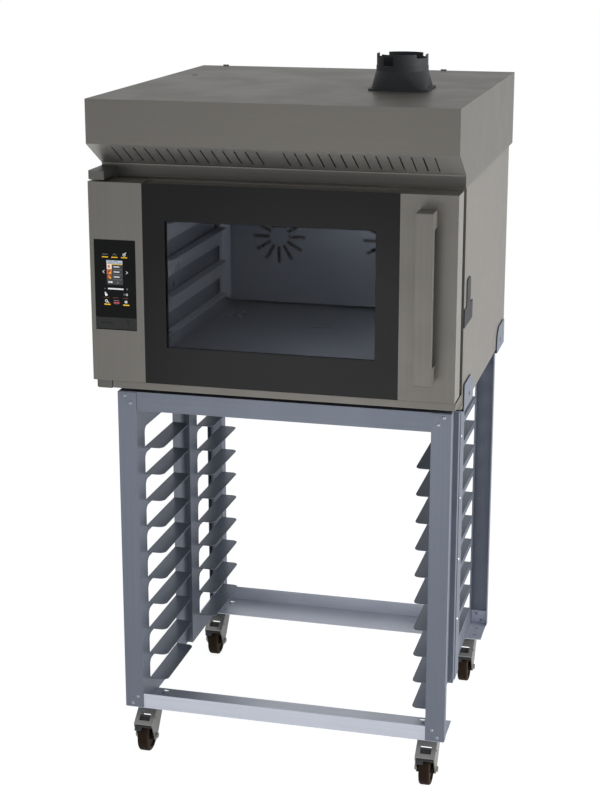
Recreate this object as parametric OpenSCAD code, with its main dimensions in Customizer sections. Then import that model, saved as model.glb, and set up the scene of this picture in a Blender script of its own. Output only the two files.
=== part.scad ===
// Electric convection oven on an open rack stand, with a steam hood on top.
// Millimetres, +Z up, the front faces -Y. The origin is on the floor, under the middle of the
// bounding box. The modules place their pieces from the door's front plane, where Y is 0, and
// in_frame() moves each piece by the one shift that centres the whole.

/* [Overall] */
// Width of the oven, its door and its hood
oven_w = 800; // [760:1:900]
// Height of the casters, from the floor to the stand
caster_h = 117; // [110:1:140]

/* [Stand] */
// Width of the stand over its posts
stand_w = 760; // [720:1:790]
// Depth of the stand over its posts
stand_d = 690; // [640:1:760]
// Height of the stand above its casters
stand_h = 775; // [500:1:900]
// Distance from the door's front plane to the stand's front
stand_setback = 93; // [90:1:110]
// Thickness of the stand's sheet
stand_t = 1.5; // [1:0.1:2]
// Width of the flange that makes each post's front
post_w = 44; // [40:1:60]
// Length of the lip folded back along each post's outer edge
post_lip = 20; // [12:1:24]
// Width of the upright bead in the middle of each side
bead_w = 72; // [50:1:90]
// Depth of the upright bead
bead_depth = 12; // [8:0.5:20]
// Overlap of the front and rear side panels on the bead's floor
bead_lap = 30; // [20:1:40]
// Upright flange of the top rails
rail_top_h = 44; // [40:1:50]
// Upright flange of the lower rails
rail_low_h = 36; // [33:1:44]
// Depth of the flat web of each rail
rail_web = 110; // [104:1:120]

/* [Tray slides of the stand] */
// Height from one tray slide to the next
slide_pitch = 64; // [60:1:90]
// Height of the lowest slide above the foot of its panel
slide_low = 54; // [50:1:80]
// Width of each slide, folded inward from the side
slide_w = 42; // [30:1:46]
// Height of the window that each slide is folded out of
slide_window = 48; // [40:1:52]
// Corner radius of the windows and slides
slide_r = 14; // [8:1:18]
// Length of the front slides
slide_front_l = 204; // [150:1:220]
// Length of the rear slides
slide_rear_l = 214; // [150:1:225]
// Margin between the front post and its windows
slide_front_gap = 52; // [40:1:60]
// Margin between the rear post and its windows
slide_rear_gap = 33; // [26:1:50]

/* [Casters] */
// Diameter of the wheels
wheel_d = 76; // [66:1:80]
// Width of the tyres
wheel_w = 26; // [20:1:30]
// Distance of the wheel axle ahead of the swivel axis
caster_trail = 39.5; // [34:0.5:46]
// Inset of the swivel axes from the stand's sides
caster_side = 43; // [40:1:44]
// Inset of the front swivel axes from the stand's front
caster_front = 63; // [56:1:66]
// Inset of the rear swivel axes from the stand's back
caster_rear = 63; // [56:1:66]
// Spacing of the four studs of each caster plate
caster_studs = 42; // [40:1:44]

/* [Oven body] */
// Height of the feet between the stand and the body
foot_h = 9; // [6:0.5:14]
// Depth of the body behind its front edge
body_d = 674; // [660:1:740]
// Height of the body
body_h = 481; // [460:1:560]
// Distance from the door's front plane to the body's front edge
body_setback = 100; // [94:1:112]
// Sheet thickness of the covers
cover_t = 1.2; // [0.8:0.1:2]
// Width of the flange folded inward round the casing's mouth
casing_lip = 12; // [10:1:16]

/* [Cavity] */
// Inner width of the cavity
cavity_w = 580; // [540:1:600]
// Inner height of the cavity
cavity_h = 345; // [338:1:356]
// Depth of the cavity behind the front plate
cavity_d = 580; // [560:1:584]
// Height of the cavity floor above the body's bottom
cavity_low = 89; // [80:1:92]
// Corner radius of the cavity
cavity_r = 30; // [16:1:36]
// Thickness of the insulation
insulation_t = 26; // [16:1:28]
// Distance from the fan baffle to the back wall
fan_space = 75; // [68:1:84]
// Radius of the circulation fans
fan_r = 92; // [70:1:96]
// Distance between the two fan shafts, as a share of the cavity's width
fan_share = 0.48; // [0.46:0.005:0.5]
// Number of blades of each fan
fan_blades = 12; // [8:1:16]

/* [Cavity racks] */
// Height from one tray runner to the next
rack_pitch = 82.5; // [78:0.5:86]
// Number of tray runners on each side
rack_levels = 4; // [3:1:4]
// Height of the lowest runner above the cavity floor
rack_low = 31; // [28:1:36]
// Width of each runner
rack_w = 21; // [18:1:26]
// Gap between the rack and the cavity wall
rack_gap = 6; // [5.5:0.5:10]

/* [Door] */
// Thickness of the door
door_d = 63.6; // [60:0.1:66]
// Height of the door's lower edge above the body's bottom
door_low = 41.5; // [38:0.5:46]
// Gap from the door's top to the level of the body's top
door_top_gap = 1.5; // [1:0.5:4]
// Width of the steel housings at the door's two sides
housing_w = 120.7; // [118:0.1:130]
// Thickness of the outer glass
outer_glass_t = 6; // [4:0.5:8]
// Thickness of the inner glass
inner_glass_t = 4; // [3:0.5:6]
// Largest opening of the door in degrees
door_open = 110; // [90:5:120]

/* [Handle] */
// Width of the handle bar
handle_w = 35.5; // [26:0.5:42]
// Length of the handle
handle_h = 363; // [300:1:400]
// Distance from the door to the handle's front
handle_reach = 50; // [40:1:60]
// Thickness of the handle bar
handle_t = 19; // [10:0.5:22]
// Height of the handle's two ends
handle_end = 36; // [26:1:44]
// Distance from the handle to the door's free edge
handle_edge = 43.5; // [36:0.5:50]
// Distance from the handle's top to the door's top
handle_top = 30; // [26:0.5:36]

/* [Control panel] */
// Width of the touch display and of the flap under it
panel_w = 93; // [80:0.5:98]
// Height of the display and the flap together
panel_h = 198; // [170:1:220]
// Height of the service flap
flap_h = 28; // [22:0.5:36]
// Distance from the panel to the door's hinge edge
panel_edge = 10.3; // [9:0.1:12]
// Distance from the panel to the door's top
panel_top = 125; // [110:1:140]
// Distance that the display stands proud of the housing
panel_proud = 1; // [0.5:0.1:2]

/* [Hinge and gutter] */
// Width of the hinge blocks
hinge_w = 37; // [34:0.5:40]
// Height of the hinge blocks
hinge_h = 18.5; // [14:0.5:20]
// Radius of the hinge pins
hinge_pin_r = 5; // [4:0.5:6]
// Distance of the hinge axis from the door's edge
hinge_side = 18; // [16:0.5:20]
// Distance of the hinge axis behind the door's front plane
hinge_back = 30; // [26:0.5:34]
// Gap between a hinge block and the door
hinge_gap = 4; // [2:0.5:5]
// Height of the drip gutter
gutter_h = 15.5; // [12:0.5:18]
// Gap between the gutter and the door's lower edge
gutter_gap = 5; // [3:0.5:8]
// Distance from the door's front plane to the gutter
gutter_front = 16; // [10:1:24]

/* [Hood] */
// Height of the hood
hood_h = 174; // [150:1:200]
// Height of the hood's upright front face
hood_face = 95; // [80:1:106]
// Distance that the hood's front stands ahead of the door
hood_ahead = 3; // [0:0.5:8]
// Distance that the hood reaches behind the body
hood_behind = 65.5; // [60:0.5:80]
// Distance from the door's front plane to the foot of the slotted slope
slope_back = 88.4; // [84:0.1:92]
// Height of the upright strip under the slope
chin_h = 27; // [22:0.5:32]
// Number of slots on each half of the slope
slot_count = 14; // [8:1:15]
// Distance from one slot to the next
slot_pitch = 24.5; // [20:0.5:25]
// Width of the slots
slot_w = 3.5; // [2:0.5:6]
// Length of the slots along the slope
slot_l = 77; // [50:1:84]
// Distance of each outer slot from the hood's side
slot_side = 53; // [30:1:56]

/* [Flue] */
// Outer radius of the flue's round spigot
flue_r = 58; // [50:0.5:64]
// Wall of the flue
flue_wall = 3; // [2:0.5:4]
// Width of the flue's square base
flue_base = 134; // [130:1:150]
// Height of the tapering part over its base plate
flue_taper = 38; // [30:1:50]
// Height of the round spigot
flue_spigot = 28; // [24:1:40]
// Height of the raised lugs of the rim
flue_lug = 8; // [4:0.5:10]
// Distance of the flue's axis to the right of the middle
flue_x = 210; // [180:1:230]
// Distance of the flue's axis behind the door's front plane
flue_y = 365; // [330:1:400]

/* [Hidden] */
$fn = 48;

// Overrun of every cut
over = 1;
// Radial clearance of a shaft in its hole
fit = 0.05;
// Gap between pieces that move past each other
gap = 0.3;
// Gap between a sheet and the edge that it is let into
joint_gap = 0.2;

// Flue plate and rim
flue_plate_t = 4;

// Levels, from the floor up
stand_top = caster_h + stand_h;
side_z0 = caster_h + stand_t;
side_z1 = stand_top - stand_t;
body_z0 = stand_top + foot_h;
body_z1 = body_z0 + body_h;
door_z0 = body_z0 + door_low;
door_z1 = body_z1 - door_top_gap;
cavity_z0 = body_z0 + cavity_low;
cavity_z1 = cavity_z0 + cavity_h;
cavity_mid = (cavity_z0 + cavity_z1) / 2;
hood_z1 = body_z1 + hood_h;
face_z0 = hood_z1 - hood_face;
chin_z1 = body_z1 + chin_h;
taper_z0 = hood_z1 + flue_plate_t;
spigot_z0 = taper_z0 + flue_taper;
spigot_z1 = spigot_z0 + flue_spigot;

// Planes across the object
side_x = oven_w / 2;
web_x = stand_w / 2 - post_w;
glass_x = side_x - housing_w;
fan_pitch = cavity_w * fan_share;

// Planes along the object, behind the door's front plane
stand_y0 = stand_setback;
stand_y1 = stand_setback + stand_d;
body_y1 = body_setback + body_d;
hood_y0 = -hood_ahead;
hood_y1 = body_y1 + hood_behind;
plate_y0 = body_setback + cover_t;
plate_y1 = plate_y0 + cover_t;
cavity_y1 = plate_y1 + cavity_d;
baffle_y = cavity_y1 - fan_space;
insulation_y1 = cavity_y1 + cover_t + insulation_t;
door_back_y = door_d - cover_t;

// The shift that puts the middle of the bounding box over the origin
shift_y = (handle_reach - hood_y1) / 2;

module in_frame() { translate([0, shift_y, 0]) children(); }

// Rounded rectangle about the origin, with true arcs
module round_rect(w, h, r) {
    square([w - 2 * r, h], center = true);
    square([w, h - 2 * r], center = true);
    for (x = [-1, 1], y = [-1, 1])
        translate([x * (w / 2 - r), y * (h / 2 - r)]) circle(r);
}

// Block between two corners, each axis given as [from, to]
module block(x, y, z) {
    translate([x[0], y[0], z[0]]) cube([x[1] - x[0], y[1] - y[0], z[1] - z[0]]);
}

// Extrudes an X-Z outline from y0 to y1
module along_y(y0, y1) {
    translate([0, y1, 0]) rotate([90, 0, 0]) linear_extrude(y1 - y0) children();
}

// Extrudes a Y-Z outline from x0 to x1
module along_x(x0, x1) {
    translate([x0, 0, 0]) rotate([90, 0, 90]) linear_extrude(x1 - x0) children();
}

// Round bar or bore along one axis
module rod_x(x, y, z, r) {
    translate([x[0], y, z]) rotate([0, 90, 0]) cylinder(r = r, h = x[1] - x[0]);
}

module rod_y(x, y, z, r) {
    translate([x, y[1], z]) rotate([90, 0, 0]) cylinder(r = r, h = y[1] - y[0]);
}

module rod_z(x, y, z, r) {
    translate([x, y, z[0]]) cylinder(r = r, h = z[1] - z[0]);
}

// A copy at each side
module both_sides() {
    children();
    mirror([1, 0, 0]) children();
}

// Stand

// Distances of the corner rivets from the post's outer edge and from the panel's end
rivet_r = 2.5;
rivet_head_r = 4.5;
rivet_head_t = 1.8;
rivet_outer = [17, 10];
rivet_inner = [29.5, 27];
seam_rivets = 4;

slide_levels = floor((stand_h - slide_low - rail_top_h) / slide_pitch);

function slide_z(i) = caster_h + slide_low + i * slide_pitch;

function seam_rivet_z(i) = caster_h + stand_h * (i + 1) / (seam_rivets + 1);

// Window left in a side where a slide is folded out, with rounded upper corners
module slide_opening(length, height, r) {
    translate([0, 0]) square([length, height - r]);
    translate([r, 0]) square([length - 2 * r, height]);
    for (y = [r, length - r]) translate([y, height - r]) circle(r);
}

// Slide folded inward, with rounded free corners, drawn in plan from its root at X 0
module slide_plan(length, width, r) {
    translate([0, 0]) square([width - r, length]);
    translate([0, r]) square([width, length - 2 * r]);
    for (y = [r, length - r]) translate([width - r, y]) circle(r);
}

// One quarter of the stand's sides: lip, post, web with its slides, and half of the bead.
// It is drawn on the right, from the post's face at Y 0 towards the middle.
module side_quarter(margin, length, floor_step) {
    half = stand_d / 2;
    bead_y = half - bead_w / 2;
    floor_x = web_x + bead_depth + floor_step;
    difference() {
        union() {
            translate([0, 0, side_z0]) linear_extrude(side_z1 - side_z0) {
                translate([stand_w / 2 - stand_t, 0]) square([stand_t, post_lip]);
                translate([web_x, 0]) square([post_w, stand_t]);
                translate([web_x, 0]) square([stand_t, bead_y]);
                translate([web_x, bead_y - stand_t]) square([floor_x + stand_t - web_x, stand_t]);
                translate([floor_x, bead_y - stand_t])
                    square([stand_t, bead_w / 2 + stand_t + bead_lap / 2]);
            }
            for (i = [0 : slide_levels - 1])
                translate([web_x + stand_t, margin, slide_z(i) - stand_t])
                    mirror([1, 0, 0]) linear_extrude(stand_t)
                        slide_plan(length, slide_w + stand_t, slide_r);
        }
        for (i = [0 : slide_levels - 1])
            translate([0, margin, slide_z(i)])
                along_x(web_x - over, web_x + stand_t + over)
                    slide_opening(length, slide_window, slide_r);
        // Notches for the rails' upright flanges, behind the post's face
        block([web_x - over, web_x + stand_t + over], [stand_t, 2 * stand_t + gap],
            [side_z0 - over, caster_h + rail_low_h + gap]);
        block([web_x - over, web_x + stand_t + over], [stand_t, 2 * stand_t + gap],
            [stand_top - rail_top_h - gap, side_z1 + over]);
        for (spot = [rivet_outer, rivet_inner], low = [true, false])
            rod_y(stand_w / 2 - spot[0], [-over, stand_t + over],
                low ? caster_h + spot[1] : stand_top - spot[1], rivet_r + fit);
        for (i = [0 : seam_rivets - 1])
            rod_x([floor_x - over, floor_x + stand_t + over], half, seam_rivet_z(i),
                rivet_r + fit);
    }
}

module side_front() {
    translate([0, stand_y0, 0]) side_quarter(slide_front_gap, slide_front_l, 0);
}

module side_rear() {
    translate([0, stand_y1, 0]) mirror([0, 1, 0])
        side_quarter(slide_rear_gap, slide_rear_l, stand_t);
}

module stand_side_left_front() { in_frame() color("lightsteelblue") mirror([1, 0, 0]) side_front(); }

module stand_side_left_rear() { in_frame() color("lightsteelblue") mirror([1, 0, 0]) side_rear(); }

module stand_side_right_front() { in_frame() color("lightsteelblue") side_front(); }

module stand_side_right_rear() { in_frame() color("lightsteelblue") side_rear(); }

// Half length of a rail, between the lips of its posts
rail_x = stand_w / 2 - stand_t - joint_gap;

// Front rail: upright flange behind the posts' faces and a flat web. The web lies at the end
// of the panels, and low says whether that is their lower end.
module rail(low) {
    web_z = low ? caster_h : stand_top - stand_t;
    flange_z = low ? [caster_h, caster_h + rail_low_h] : [stand_top - rail_top_h, stand_top];
    difference() {
        union() {
            block([-rail_x, rail_x], [stand_t, 2 * stand_t], flange_z);
            block([-rail_x, rail_x], [stand_t, rail_web], [web_z, web_z + stand_t]);
        }
        for (spot = [rivet_outer, rivet_inner], side = [-1, 1])
            rod_y(side * (stand_w / 2 - spot[0]), [0, 2 * stand_t + over],
                low ? caster_h + spot[1] : stand_top - spot[1], rivet_r + fit);
        children();
    }
}

module at_front() { translate([0, stand_y0, 0]) children(); }

module at_rear() { translate([0, stand_y1, 0]) mirror([0, 1, 0]) children(); }

// Places of the rivets that hold a retaining tab, from the stand's side and from its face
tab_rivet_x = 20;
tab_rivets = [53, 93];

module tab_holes() {
    for (side = [-1, 1], y = tab_rivets)
        rod_z(side * (stand_w / 2 - tab_rivet_x), y,
            [stand_top - stand_t - over, stand_top + stand_t + over], rivet_r + fit);
}

module stand_top_rails() {
    in_frame() color("lightsteelblue") {
        at_front() rail(false) tab_holes();
        at_rear() rail(false) tab_holes();
    }
}

// Stud holes of a caster, and the slot beside it, longer across the stand
stud_hole_r = 4;
rail_slot_r = 3.5;
rail_slot_run = 5;
rail_slot_x = 24;
rail_slot_y = 36.5;

// The stud holes lie round the swivel axis. The slot lies inboard of it, to its rear.
module caster_holes(inset, rearward) {
    z = [caster_h - over, caster_h + stand_t + over];
    for (side = [-1, 1]) {
        for (x = [-1, 1], y = [-1, 1])
            rod_z(side * (caster_x + x * caster_studs / 2), inset + y * caster_studs / 2, z,
                stud_hole_r + fit);
        translate([side * (caster_x - rail_slot_x), inset + rearward * rail_slot_y, 0]) {
            block([-rail_slot_run / 2, rail_slot_run / 2], [-rail_slot_r, rail_slot_r], z);
            for (end = [-1, 1]) rod_z(end * rail_slot_run / 2, 0, z, rail_slot_r);
        }
    }
}

module stand_lower_rails() {
    in_frame() color("lightsteelblue") {
        at_front() rail(true) caster_holes(caster_front, 1);
        at_rear() rail(true) caster_holes(caster_rear, -1);
    }
}

// Tabs that keep the oven from sliding off: a foot on the stand and an upright plate
tab_l = 124;
tab_h = 61;
tab_inset = 23;
tab_r = 40;
tab_corner_r = 8;
tab_gap = 2;
tab_foot_edge = 16;
tab_hole_r = 5;
tab_hole_z = 24;
tab_hole_share = 0.56;

module retaining_tab() {
    x0 = side_x + tab_gap;
    rivet_x = stand_w / 2 - tab_rivet_x;
    difference() {
        union() {
            along_x(x0, x0 + stand_t) {
                square([tab_l, tab_h - tab_r]);
                translate([tab_corner_r, 0])
                    square([tab_l - tab_corner_r - tab_r, tab_h]);
                square([tab_l - tab_r, tab_h - tab_corner_r]);
                translate([tab_corner_r, tab_h - tab_corner_r]) circle(tab_corner_r);
                intersection() {
                    translate([tab_l - tab_r, tab_h - tab_r]) circle(tab_r);
                    square([tab_l, tab_h]);
                }
            }
            block([min(x0, rivet_x - tab_foot_edge), max(x0 + stand_t, rivet_x + tab_foot_edge)],
                [0, tab_l], [0, stand_t]);
        }
        rod_x([x0 - over, x0 + stand_t + over], tab_l * tab_hole_share, tab_hole_z, tab_hole_r);
    }
}

module oven_retaining_tabs() {
    in_frame() color("lightsteelblue") difference() {
        both_sides() {
            translate([0, stand_y0 + tab_inset, stand_top]) retaining_tab();
            translate([0, stand_y1 - tab_inset, stand_top]) mirror([0, 1, 0]) retaining_tab();
        }
        at_front() tab_holes();
        at_rear() tab_holes();
    }
}

// Pop rivet through two sheets, its head at Y 0 and its shank towards +Y
module rivet(grip) {
    translate([0, -rivet_head_t, 0]) rotate([-90, 0, 0]) {
        cylinder(r1 = rivet_head_r - rivet_head_t, r2 = rivet_head_r, h = rivet_head_t);
        cylinder(r = rivet_r, h = rivet_head_t + grip);
        translate([0, 0, rivet_head_t + grip])
            cylinder(r = rivet_r + rivet_head_t / 2, h = rivet_head_t);
    }
}

// Stud, flush in the rail's web, down through a caster plate to its nut
module caster_stud() {
    nut_z0 = caster_h - caster_plate_t - nut_t;
    rod_z(0, 0, [nut_z0, caster_h + stand_t], stud_hole_r);
    translate([0, 0, nut_z0]) cylinder(r = nut_r, h = nut_t, $fn = 6);
}

nut_r = 7;
nut_t = 4;

module stand_fasteners() {
    in_frame() color("silver") {
        for (side = [-1, 1], spot = [rivet_outer, rivet_inner], low = [true, false]) {
            z = low ? caster_h + spot[1] : stand_top - spot[1];
            at_front() translate([side * (stand_w / 2 - spot[0]), 0, z]) rivet(2 * stand_t);
            at_rear() translate([side * (stand_w / 2 - spot[0]), 0, z]) rivet(2 * stand_t);
        }
        both_sides() for (i = [0 : seam_rivets - 1])
            translate([web_x + bead_depth + 2 * stand_t, stand_y0 + stand_d / 2, seam_rivet_z(i)])
                rotate([0, 0, 90]) rivet(2 * stand_t);
        both_sides() for (front = [true, false], x = [-1, 1], y = [-1, 1])
            translate([caster_x + x * caster_studs / 2,
                caster_y(front) + y * caster_studs / 2, 0]) caster_stud();
        for (side = [-1, 1], y = tab_rivets) {
            at_front() translate([side * (stand_w / 2 - tab_rivet_x), y, stand_top + stand_t])
                rotate([-90, 0, 0]) rivet(2 * stand_t);
            at_rear() translate([side * (stand_w / 2 - tab_rivet_x), y, stand_top + stand_t])
                rotate([-90, 0, 0]) rivet(2 * stand_t);
        }
    }
}

// Casters

caster_x = stand_w / 2 - caster_side;

function caster_y(front) = front ? stand_y0 + caster_front : stand_y1 - caster_rear;

caster_plate_t = 3;
caster_plate_edge = 9;
race_r = 20;
race_h = 5;
kingpin_r = 6;
kingpin_head_r = 9;
kingpin_head_t = 3;
fork_w = 46;
fork_t = 2.5;
fork_top_l = 52;
axle_r = 4;
axle_head_r = 7;
axle_head_t = 4;
hub_r = 11;
fork_z1 = caster_h - caster_plate_t - race_h - gap;

// Plate, ball race and kingpin of one caster, about its swivel axis
module caster_plate() {
    plate_z0 = caster_h - caster_plate_t;
    difference() {
        translate([0, 0, plate_z0]) linear_extrude(caster_plate_t)
            round_rect(caster_studs + 2 * caster_plate_edge,
                caster_studs + 2 * caster_plate_edge, caster_plate_edge);
        for (x = [-1, 1], y = [-1, 1])
            rod_z(x * caster_studs / 2, y * caster_studs / 2,
                [plate_z0 - over, caster_h + over], stud_hole_r + fit);
    }
    translate([0, 0, plate_z0 - race_h])
        cylinder(r1 = race_r - race_h / 2, r2 = race_r, h = race_h);
    rod_z(0, 0, [fork_z1 - fork_t - gap, plate_z0], kingpin_r);
    rod_z(0, 0, [fork_z1 - fork_t - gap - kingpin_head_t, fork_z1 - fork_t - gap],
        kingpin_head_r);
}

module caster_plates() {
    in_frame() color("darkgray") both_sides() for (front = [true, false])
        translate([caster_x, caster_y(front), 0]) caster_plate();
}

// Side outline of the fork, in Y and Z, from its top plate down to the axle
cheek_r = 11;
nose_reach = 68;
nose_drop = 31;
nose_h = 7;

module cheek_outline() {
    axle_z = wheel_d / 2;
    difference() {
        union() {
            polygon([[fork_top_l / 2, fork_z1], [-fork_top_l / 2, fork_z1],
                [-nose_reach, fork_z1 - nose_drop], [-nose_reach, fork_z1 - nose_drop - nose_h],
                [-caster_trail - cheek_r, axle_z], [-caster_trail + cheek_r, axle_z]]);
            translate([-caster_trail, axle_z]) circle(cheek_r);
        }
        translate([-caster_trail, axle_z]) circle(axle_r + fit);
        translate([-pedal_y, fork_z1 - pedal_drop]) circle(pedal_pin_r + fit);
    }
}

// Stamped fork: top plate, two cheeks and a sloping front with a window
module caster_fork() {
    half = fork_w / 2;
    slope = atan2(nose_drop, nose_reach - fork_top_l / 2);
    front_l = norm([nose_drop, nose_reach - fork_top_l / 2]);
    difference() {
        along_x(-half, half) cheek_outline();
        along_x(-half + fork_t, half - fork_t) polygon([[nose_reach, fork_z1 - fork_t],
            [-fork_top_l / 2 + fork_t * tan(slope / 2), fork_z1 - fork_t],
            [-nose_reach - over, fork_z1 - nose_drop - fork_t / cos(slope) - over * tan(slope)],
            [-nose_reach - over, 0], [nose_reach, 0]]);
        rod_z(0, 0, [fork_z1 - fork_t - over, fork_z1 + over], kingpin_r + fit);
        // Window in the sloping front
        translate([0, -fork_top_l / 2, fork_z1]) rotate([slope, 0, 0])
            block([-half * window_share, half * window_share],
                [-front_l + window_edge, -front_l + window_edge + window_l],
                [-fork_t - over, over]);
    }
    caster_axle();
}

window_share = 0.55;
window_edge = 9;
window_l = 20;

// Wheel: tyre with rounded shoulders on a hub, bored for its axle
tyre_round = 5;

module caster_wheel() {
    axle_z = wheel_d / 2;
    hub_half = fork_w / 2 - fork_t - gap;
    translate([0, -caster_trail, axle_z]) rotate([0, 90, 0]) difference() {
        union() {
            rotate_extrude() {
                square([wheel_d / 2 - tyre_round, wheel_w / 2]);
                mirror([0, 1]) square([wheel_d / 2 - tyre_round, wheel_w / 2]);
                translate([0, -wheel_w / 2 + tyre_round])
                    square([wheel_d / 2, wheel_w - 2 * tyre_round]);
                for (side = [-1, 1])
                    translate([wheel_d / 2 - tyre_round, side * (wheel_w / 2 - tyre_round)])
                        circle(tyre_round);
            }
            translate([0, 0, -hub_half]) cylinder(r = hub_r, h = 2 * hub_half);
        }
        // Dished sides between hub and tyre
        for (side = [0, 1]) mirror([0, 0, side]) translate([0, 0, wheel_w / 2 - dish_depth])
            difference() {
                cylinder(r = wheel_d / 2 - 2 * tyre_round, h = wheel_w);
                translate([0, 0, -over]) cylinder(r = hub_r, h = wheel_w + 2 * over);
            }
        translate([0, 0, -fork_w]) cylinder(r = axle_r + fit, h = 2 * fork_w);
    }
}

dish_depth = 4;

// Brake pedal: a lever on a pin across the fork, over the tyre, with a toe tab at its left
pedal_y = 44;
pedal_drop = 22.5;
pedal_pin_r = 2;
pedal_t = 2.5;
pedal_l = 31;
pedal_tab_w = 16;
pedal_tab_l = 9;
pedal_slope = 33;
pedal_boss_r = 4;

module caster_pedal() {
    half = fork_w / 2;
    inner = half - fork_t - gap;
    plate = inner - pedal_t / 2;
    translate([0, -pedal_y, fork_z1 - pedal_drop]) {
        rod_x([-half - pedal_pin_r / 2, half + pedal_pin_r / 2], 0, 0, pedal_pin_r);
        rod_x([-inner, inner], 0, 0, pedal_boss_r);
        rotate([pedal_slope, 0, 0]) translate([0, 0, -pedal_t / 2]) linear_extrude(pedal_t)
            polygon([[-plate, 0], [-plate, -pedal_l - pedal_tab_l],
                [-plate + pedal_tab_w, -pedal_l - pedal_tab_l], [-plate + pedal_tab_w, -pedal_l],
                [plate, -pedal_l], [plate, 0]]);
    }
}

// Axle: bolt head on one side of the fork and a nut on the other
module caster_axle() {
    half = fork_w / 2;
    translate([0, -caster_trail, wheel_d / 2]) rotate([0, 90, 0]) {
        translate([0, 0, -half - fit - axle_head_t]) cylinder(r = axle_head_r, h = axle_head_t);
        translate([0, 0, -half - axle_head_t])
            cylinder(r = axle_r, h = fork_w + 2 * axle_head_t);
        translate([0, 0, half + fit]) cylinder(r = axle_head_r, h = axle_head_t, $fn = 6);
    }
}

module place_caster(side, front) {
    translate([side * caster_x, caster_y(front), 0]) children();
}

module fork_at(side, front) { in_frame() color("gray") place_caster(side, front) caster_fork(); }

module wheel_at(side, front) { in_frame() color("#2a2420") place_caster(side, front) caster_wheel(); }

module pedal_at(side, front) { in_frame() color("#303030") place_caster(side, front) caster_pedal(); }

module caster_fork_front_left() { fork_at(-1, true); }
module caster_wheel_front_left() { wheel_at(-1, true); }
module caster_pedal_front_left() { pedal_at(-1, true); }
module caster_fork_front_right() { fork_at(1, true); }
module caster_wheel_front_right() { wheel_at(1, true); }
module caster_pedal_front_right() { pedal_at(1, true); }
module caster_fork_rear_left() { fork_at(-1, false); }
module caster_wheel_rear_left() { wheel_at(-1, false); }
module caster_pedal_rear_left() { pedal_at(-1, false); }
module caster_fork_rear_right() { fork_at(1, false); }
module caster_wheel_rear_right() { wheel_at(1, false); }
module caster_pedal_rear_right() { pedal_at(1, false); }

// Oven body

foot_r = 20;
foot_side = 65;
foot_inset = 60;

module oven_feet() {
    in_frame() color("dimgray") both_sides()
        for (y = [body_setback + foot_inset, body_y1 - foot_inset])
            rod_z(stand_w / 2 - foot_side, y, [stand_top, body_z0], foot_r);
}

// Wrap-round casing: two sides and the top, with a lip folded inward at the front
module body_casing() {
    in_frame() color("lightgray") difference() {
        block([-side_x, side_x], [body_setback, body_y1], [body_z0, body_z1]);
        block([-side_x + cover_t, side_x - cover_t], [body_setback + cover_t, body_y1 + over],
            [body_z0 - over, body_z1 - cover_t]);
        block([-side_x + casing_lip, side_x - casing_lip], [body_setback - over, plate_y1],
            [body_z0 - over, body_z1 - casing_lip]);
        rod_z(exhaust_x, exhaust_y, [body_z1 - 2 * cover_t, body_z1 + over],
            exhaust_r + joint_gap);
    }
}

base_flange = 14;

// Bottom pan with upturned edges, inside the casing
module body_base() {
    inner_x = side_x - cover_t - joint_gap;
    y0 = plate_y1 + joint_gap;
    y1 = body_y1 - cover_t - joint_gap;
    in_frame() color("lightgray") difference() {
        block([-inner_x, inner_x], [y0, y1], [body_z0, body_z0 + base_flange]);
        block([-inner_x + cover_t, inner_x - cover_t], [y0 + cover_t, y1 - cover_t],
            [body_z0 + cover_t, body_z0 + base_flange + over]);
    }
}

// Louvre field of the rear panel and the places of its fittings
vent_rows = 9;
vent_pitch = 14;
vent_l = 150;
vent_h = 4;
vent_x = side_x * 0.475;
fitting_side = 70;
fitting_x = side_x - fitting_side;
fitting_r = 13.2;
gland_r = 16;
gland_bore_r = 7;
fitting_z = 60;
gland_z = 120;
drain_r = 16;
drain_socket_r = 20;
drain_wall = 1.5;
drain_y = 400;
drain_drop = 50;
fitting_l = 26;

module body_rear_panel() {
    inner_x = side_x - cover_t - joint_gap;
    in_frame() color("lightgray") difference() {
        block([-inner_x, inner_x], [body_y1 - cover_t, body_y1],
            [body_z0, body_z1 - cover_t - joint_gap]);
        for (side = [-1, 1], i = [0 : vent_rows - 1])
            block([side * vent_x - vent_l / 2, side * vent_x + vent_l / 2],
                [body_y1 - cover_t - over, body_y1 + over],
                [cavity_mid + (i - vent_rows / 2) * vent_pitch,
                    cavity_mid + (i - vent_rows / 2) * vent_pitch + vent_h]);
        rod_y(fitting_x, [body_y1 - cover_t - over, body_y1 + over], body_z0 + fitting_z,
            fitting_r + joint_gap);
        rod_y(fitting_x, [body_y1 - cover_t - over, body_y1 + over], body_z0 + gland_z,
            gland_r + joint_gap);
        rod_y(0, [body_y1 - cover_t - over, body_y1 + over], cavity_z0 - drain_drop,
            drain_r + joint_gap);
    }
}

// Width of the raised rim round the mouth, and the depth of the seal on it
rim_w = 14;
seal_d = 8;
rim_y0 = door_d + gap + seal_d;

// Outline of the cavity, grown by a margin
module cavity_outline(margin) {
    translate([0, cavity_mid])
        round_rect(cavity_w + 2 * margin, cavity_h + 2 * margin, cavity_r + margin);
}

// Front plate with a raised rim round the mouth, which brings the seal to the door
module front_frame() {
    inner_x = side_x - cover_t - joint_gap;
    in_frame() color("darkgray") difference() {
        union() {
            block([-inner_x, inner_x], [plate_y0, plate_y1],
                [body_z0 + joint_gap, body_z1 - cover_t - joint_gap]);
            along_y(rim_y0, plate_y1) cavity_outline(rim_w);
            // Catch post, which the door's back closes over
            rod_y(catch_x, [catch_y, plate_y1], cavity_mid, catch_r);
            rod_y(catch_x, [catch_y, catch_y + catch_head_l], cavity_mid, catch_head_r);
        }
        along_y(rim_y0 - over, plate_y1 + over) cavity_outline(0);
    }
}

catch_r = 5;
catch_head_r = 7;
catch_head_l = 8;
catch_y = 46;
catch_gap = 4;
catch_inset = 32;
catch_x = side_x - catch_inset;

seal_w = 10;

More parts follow.
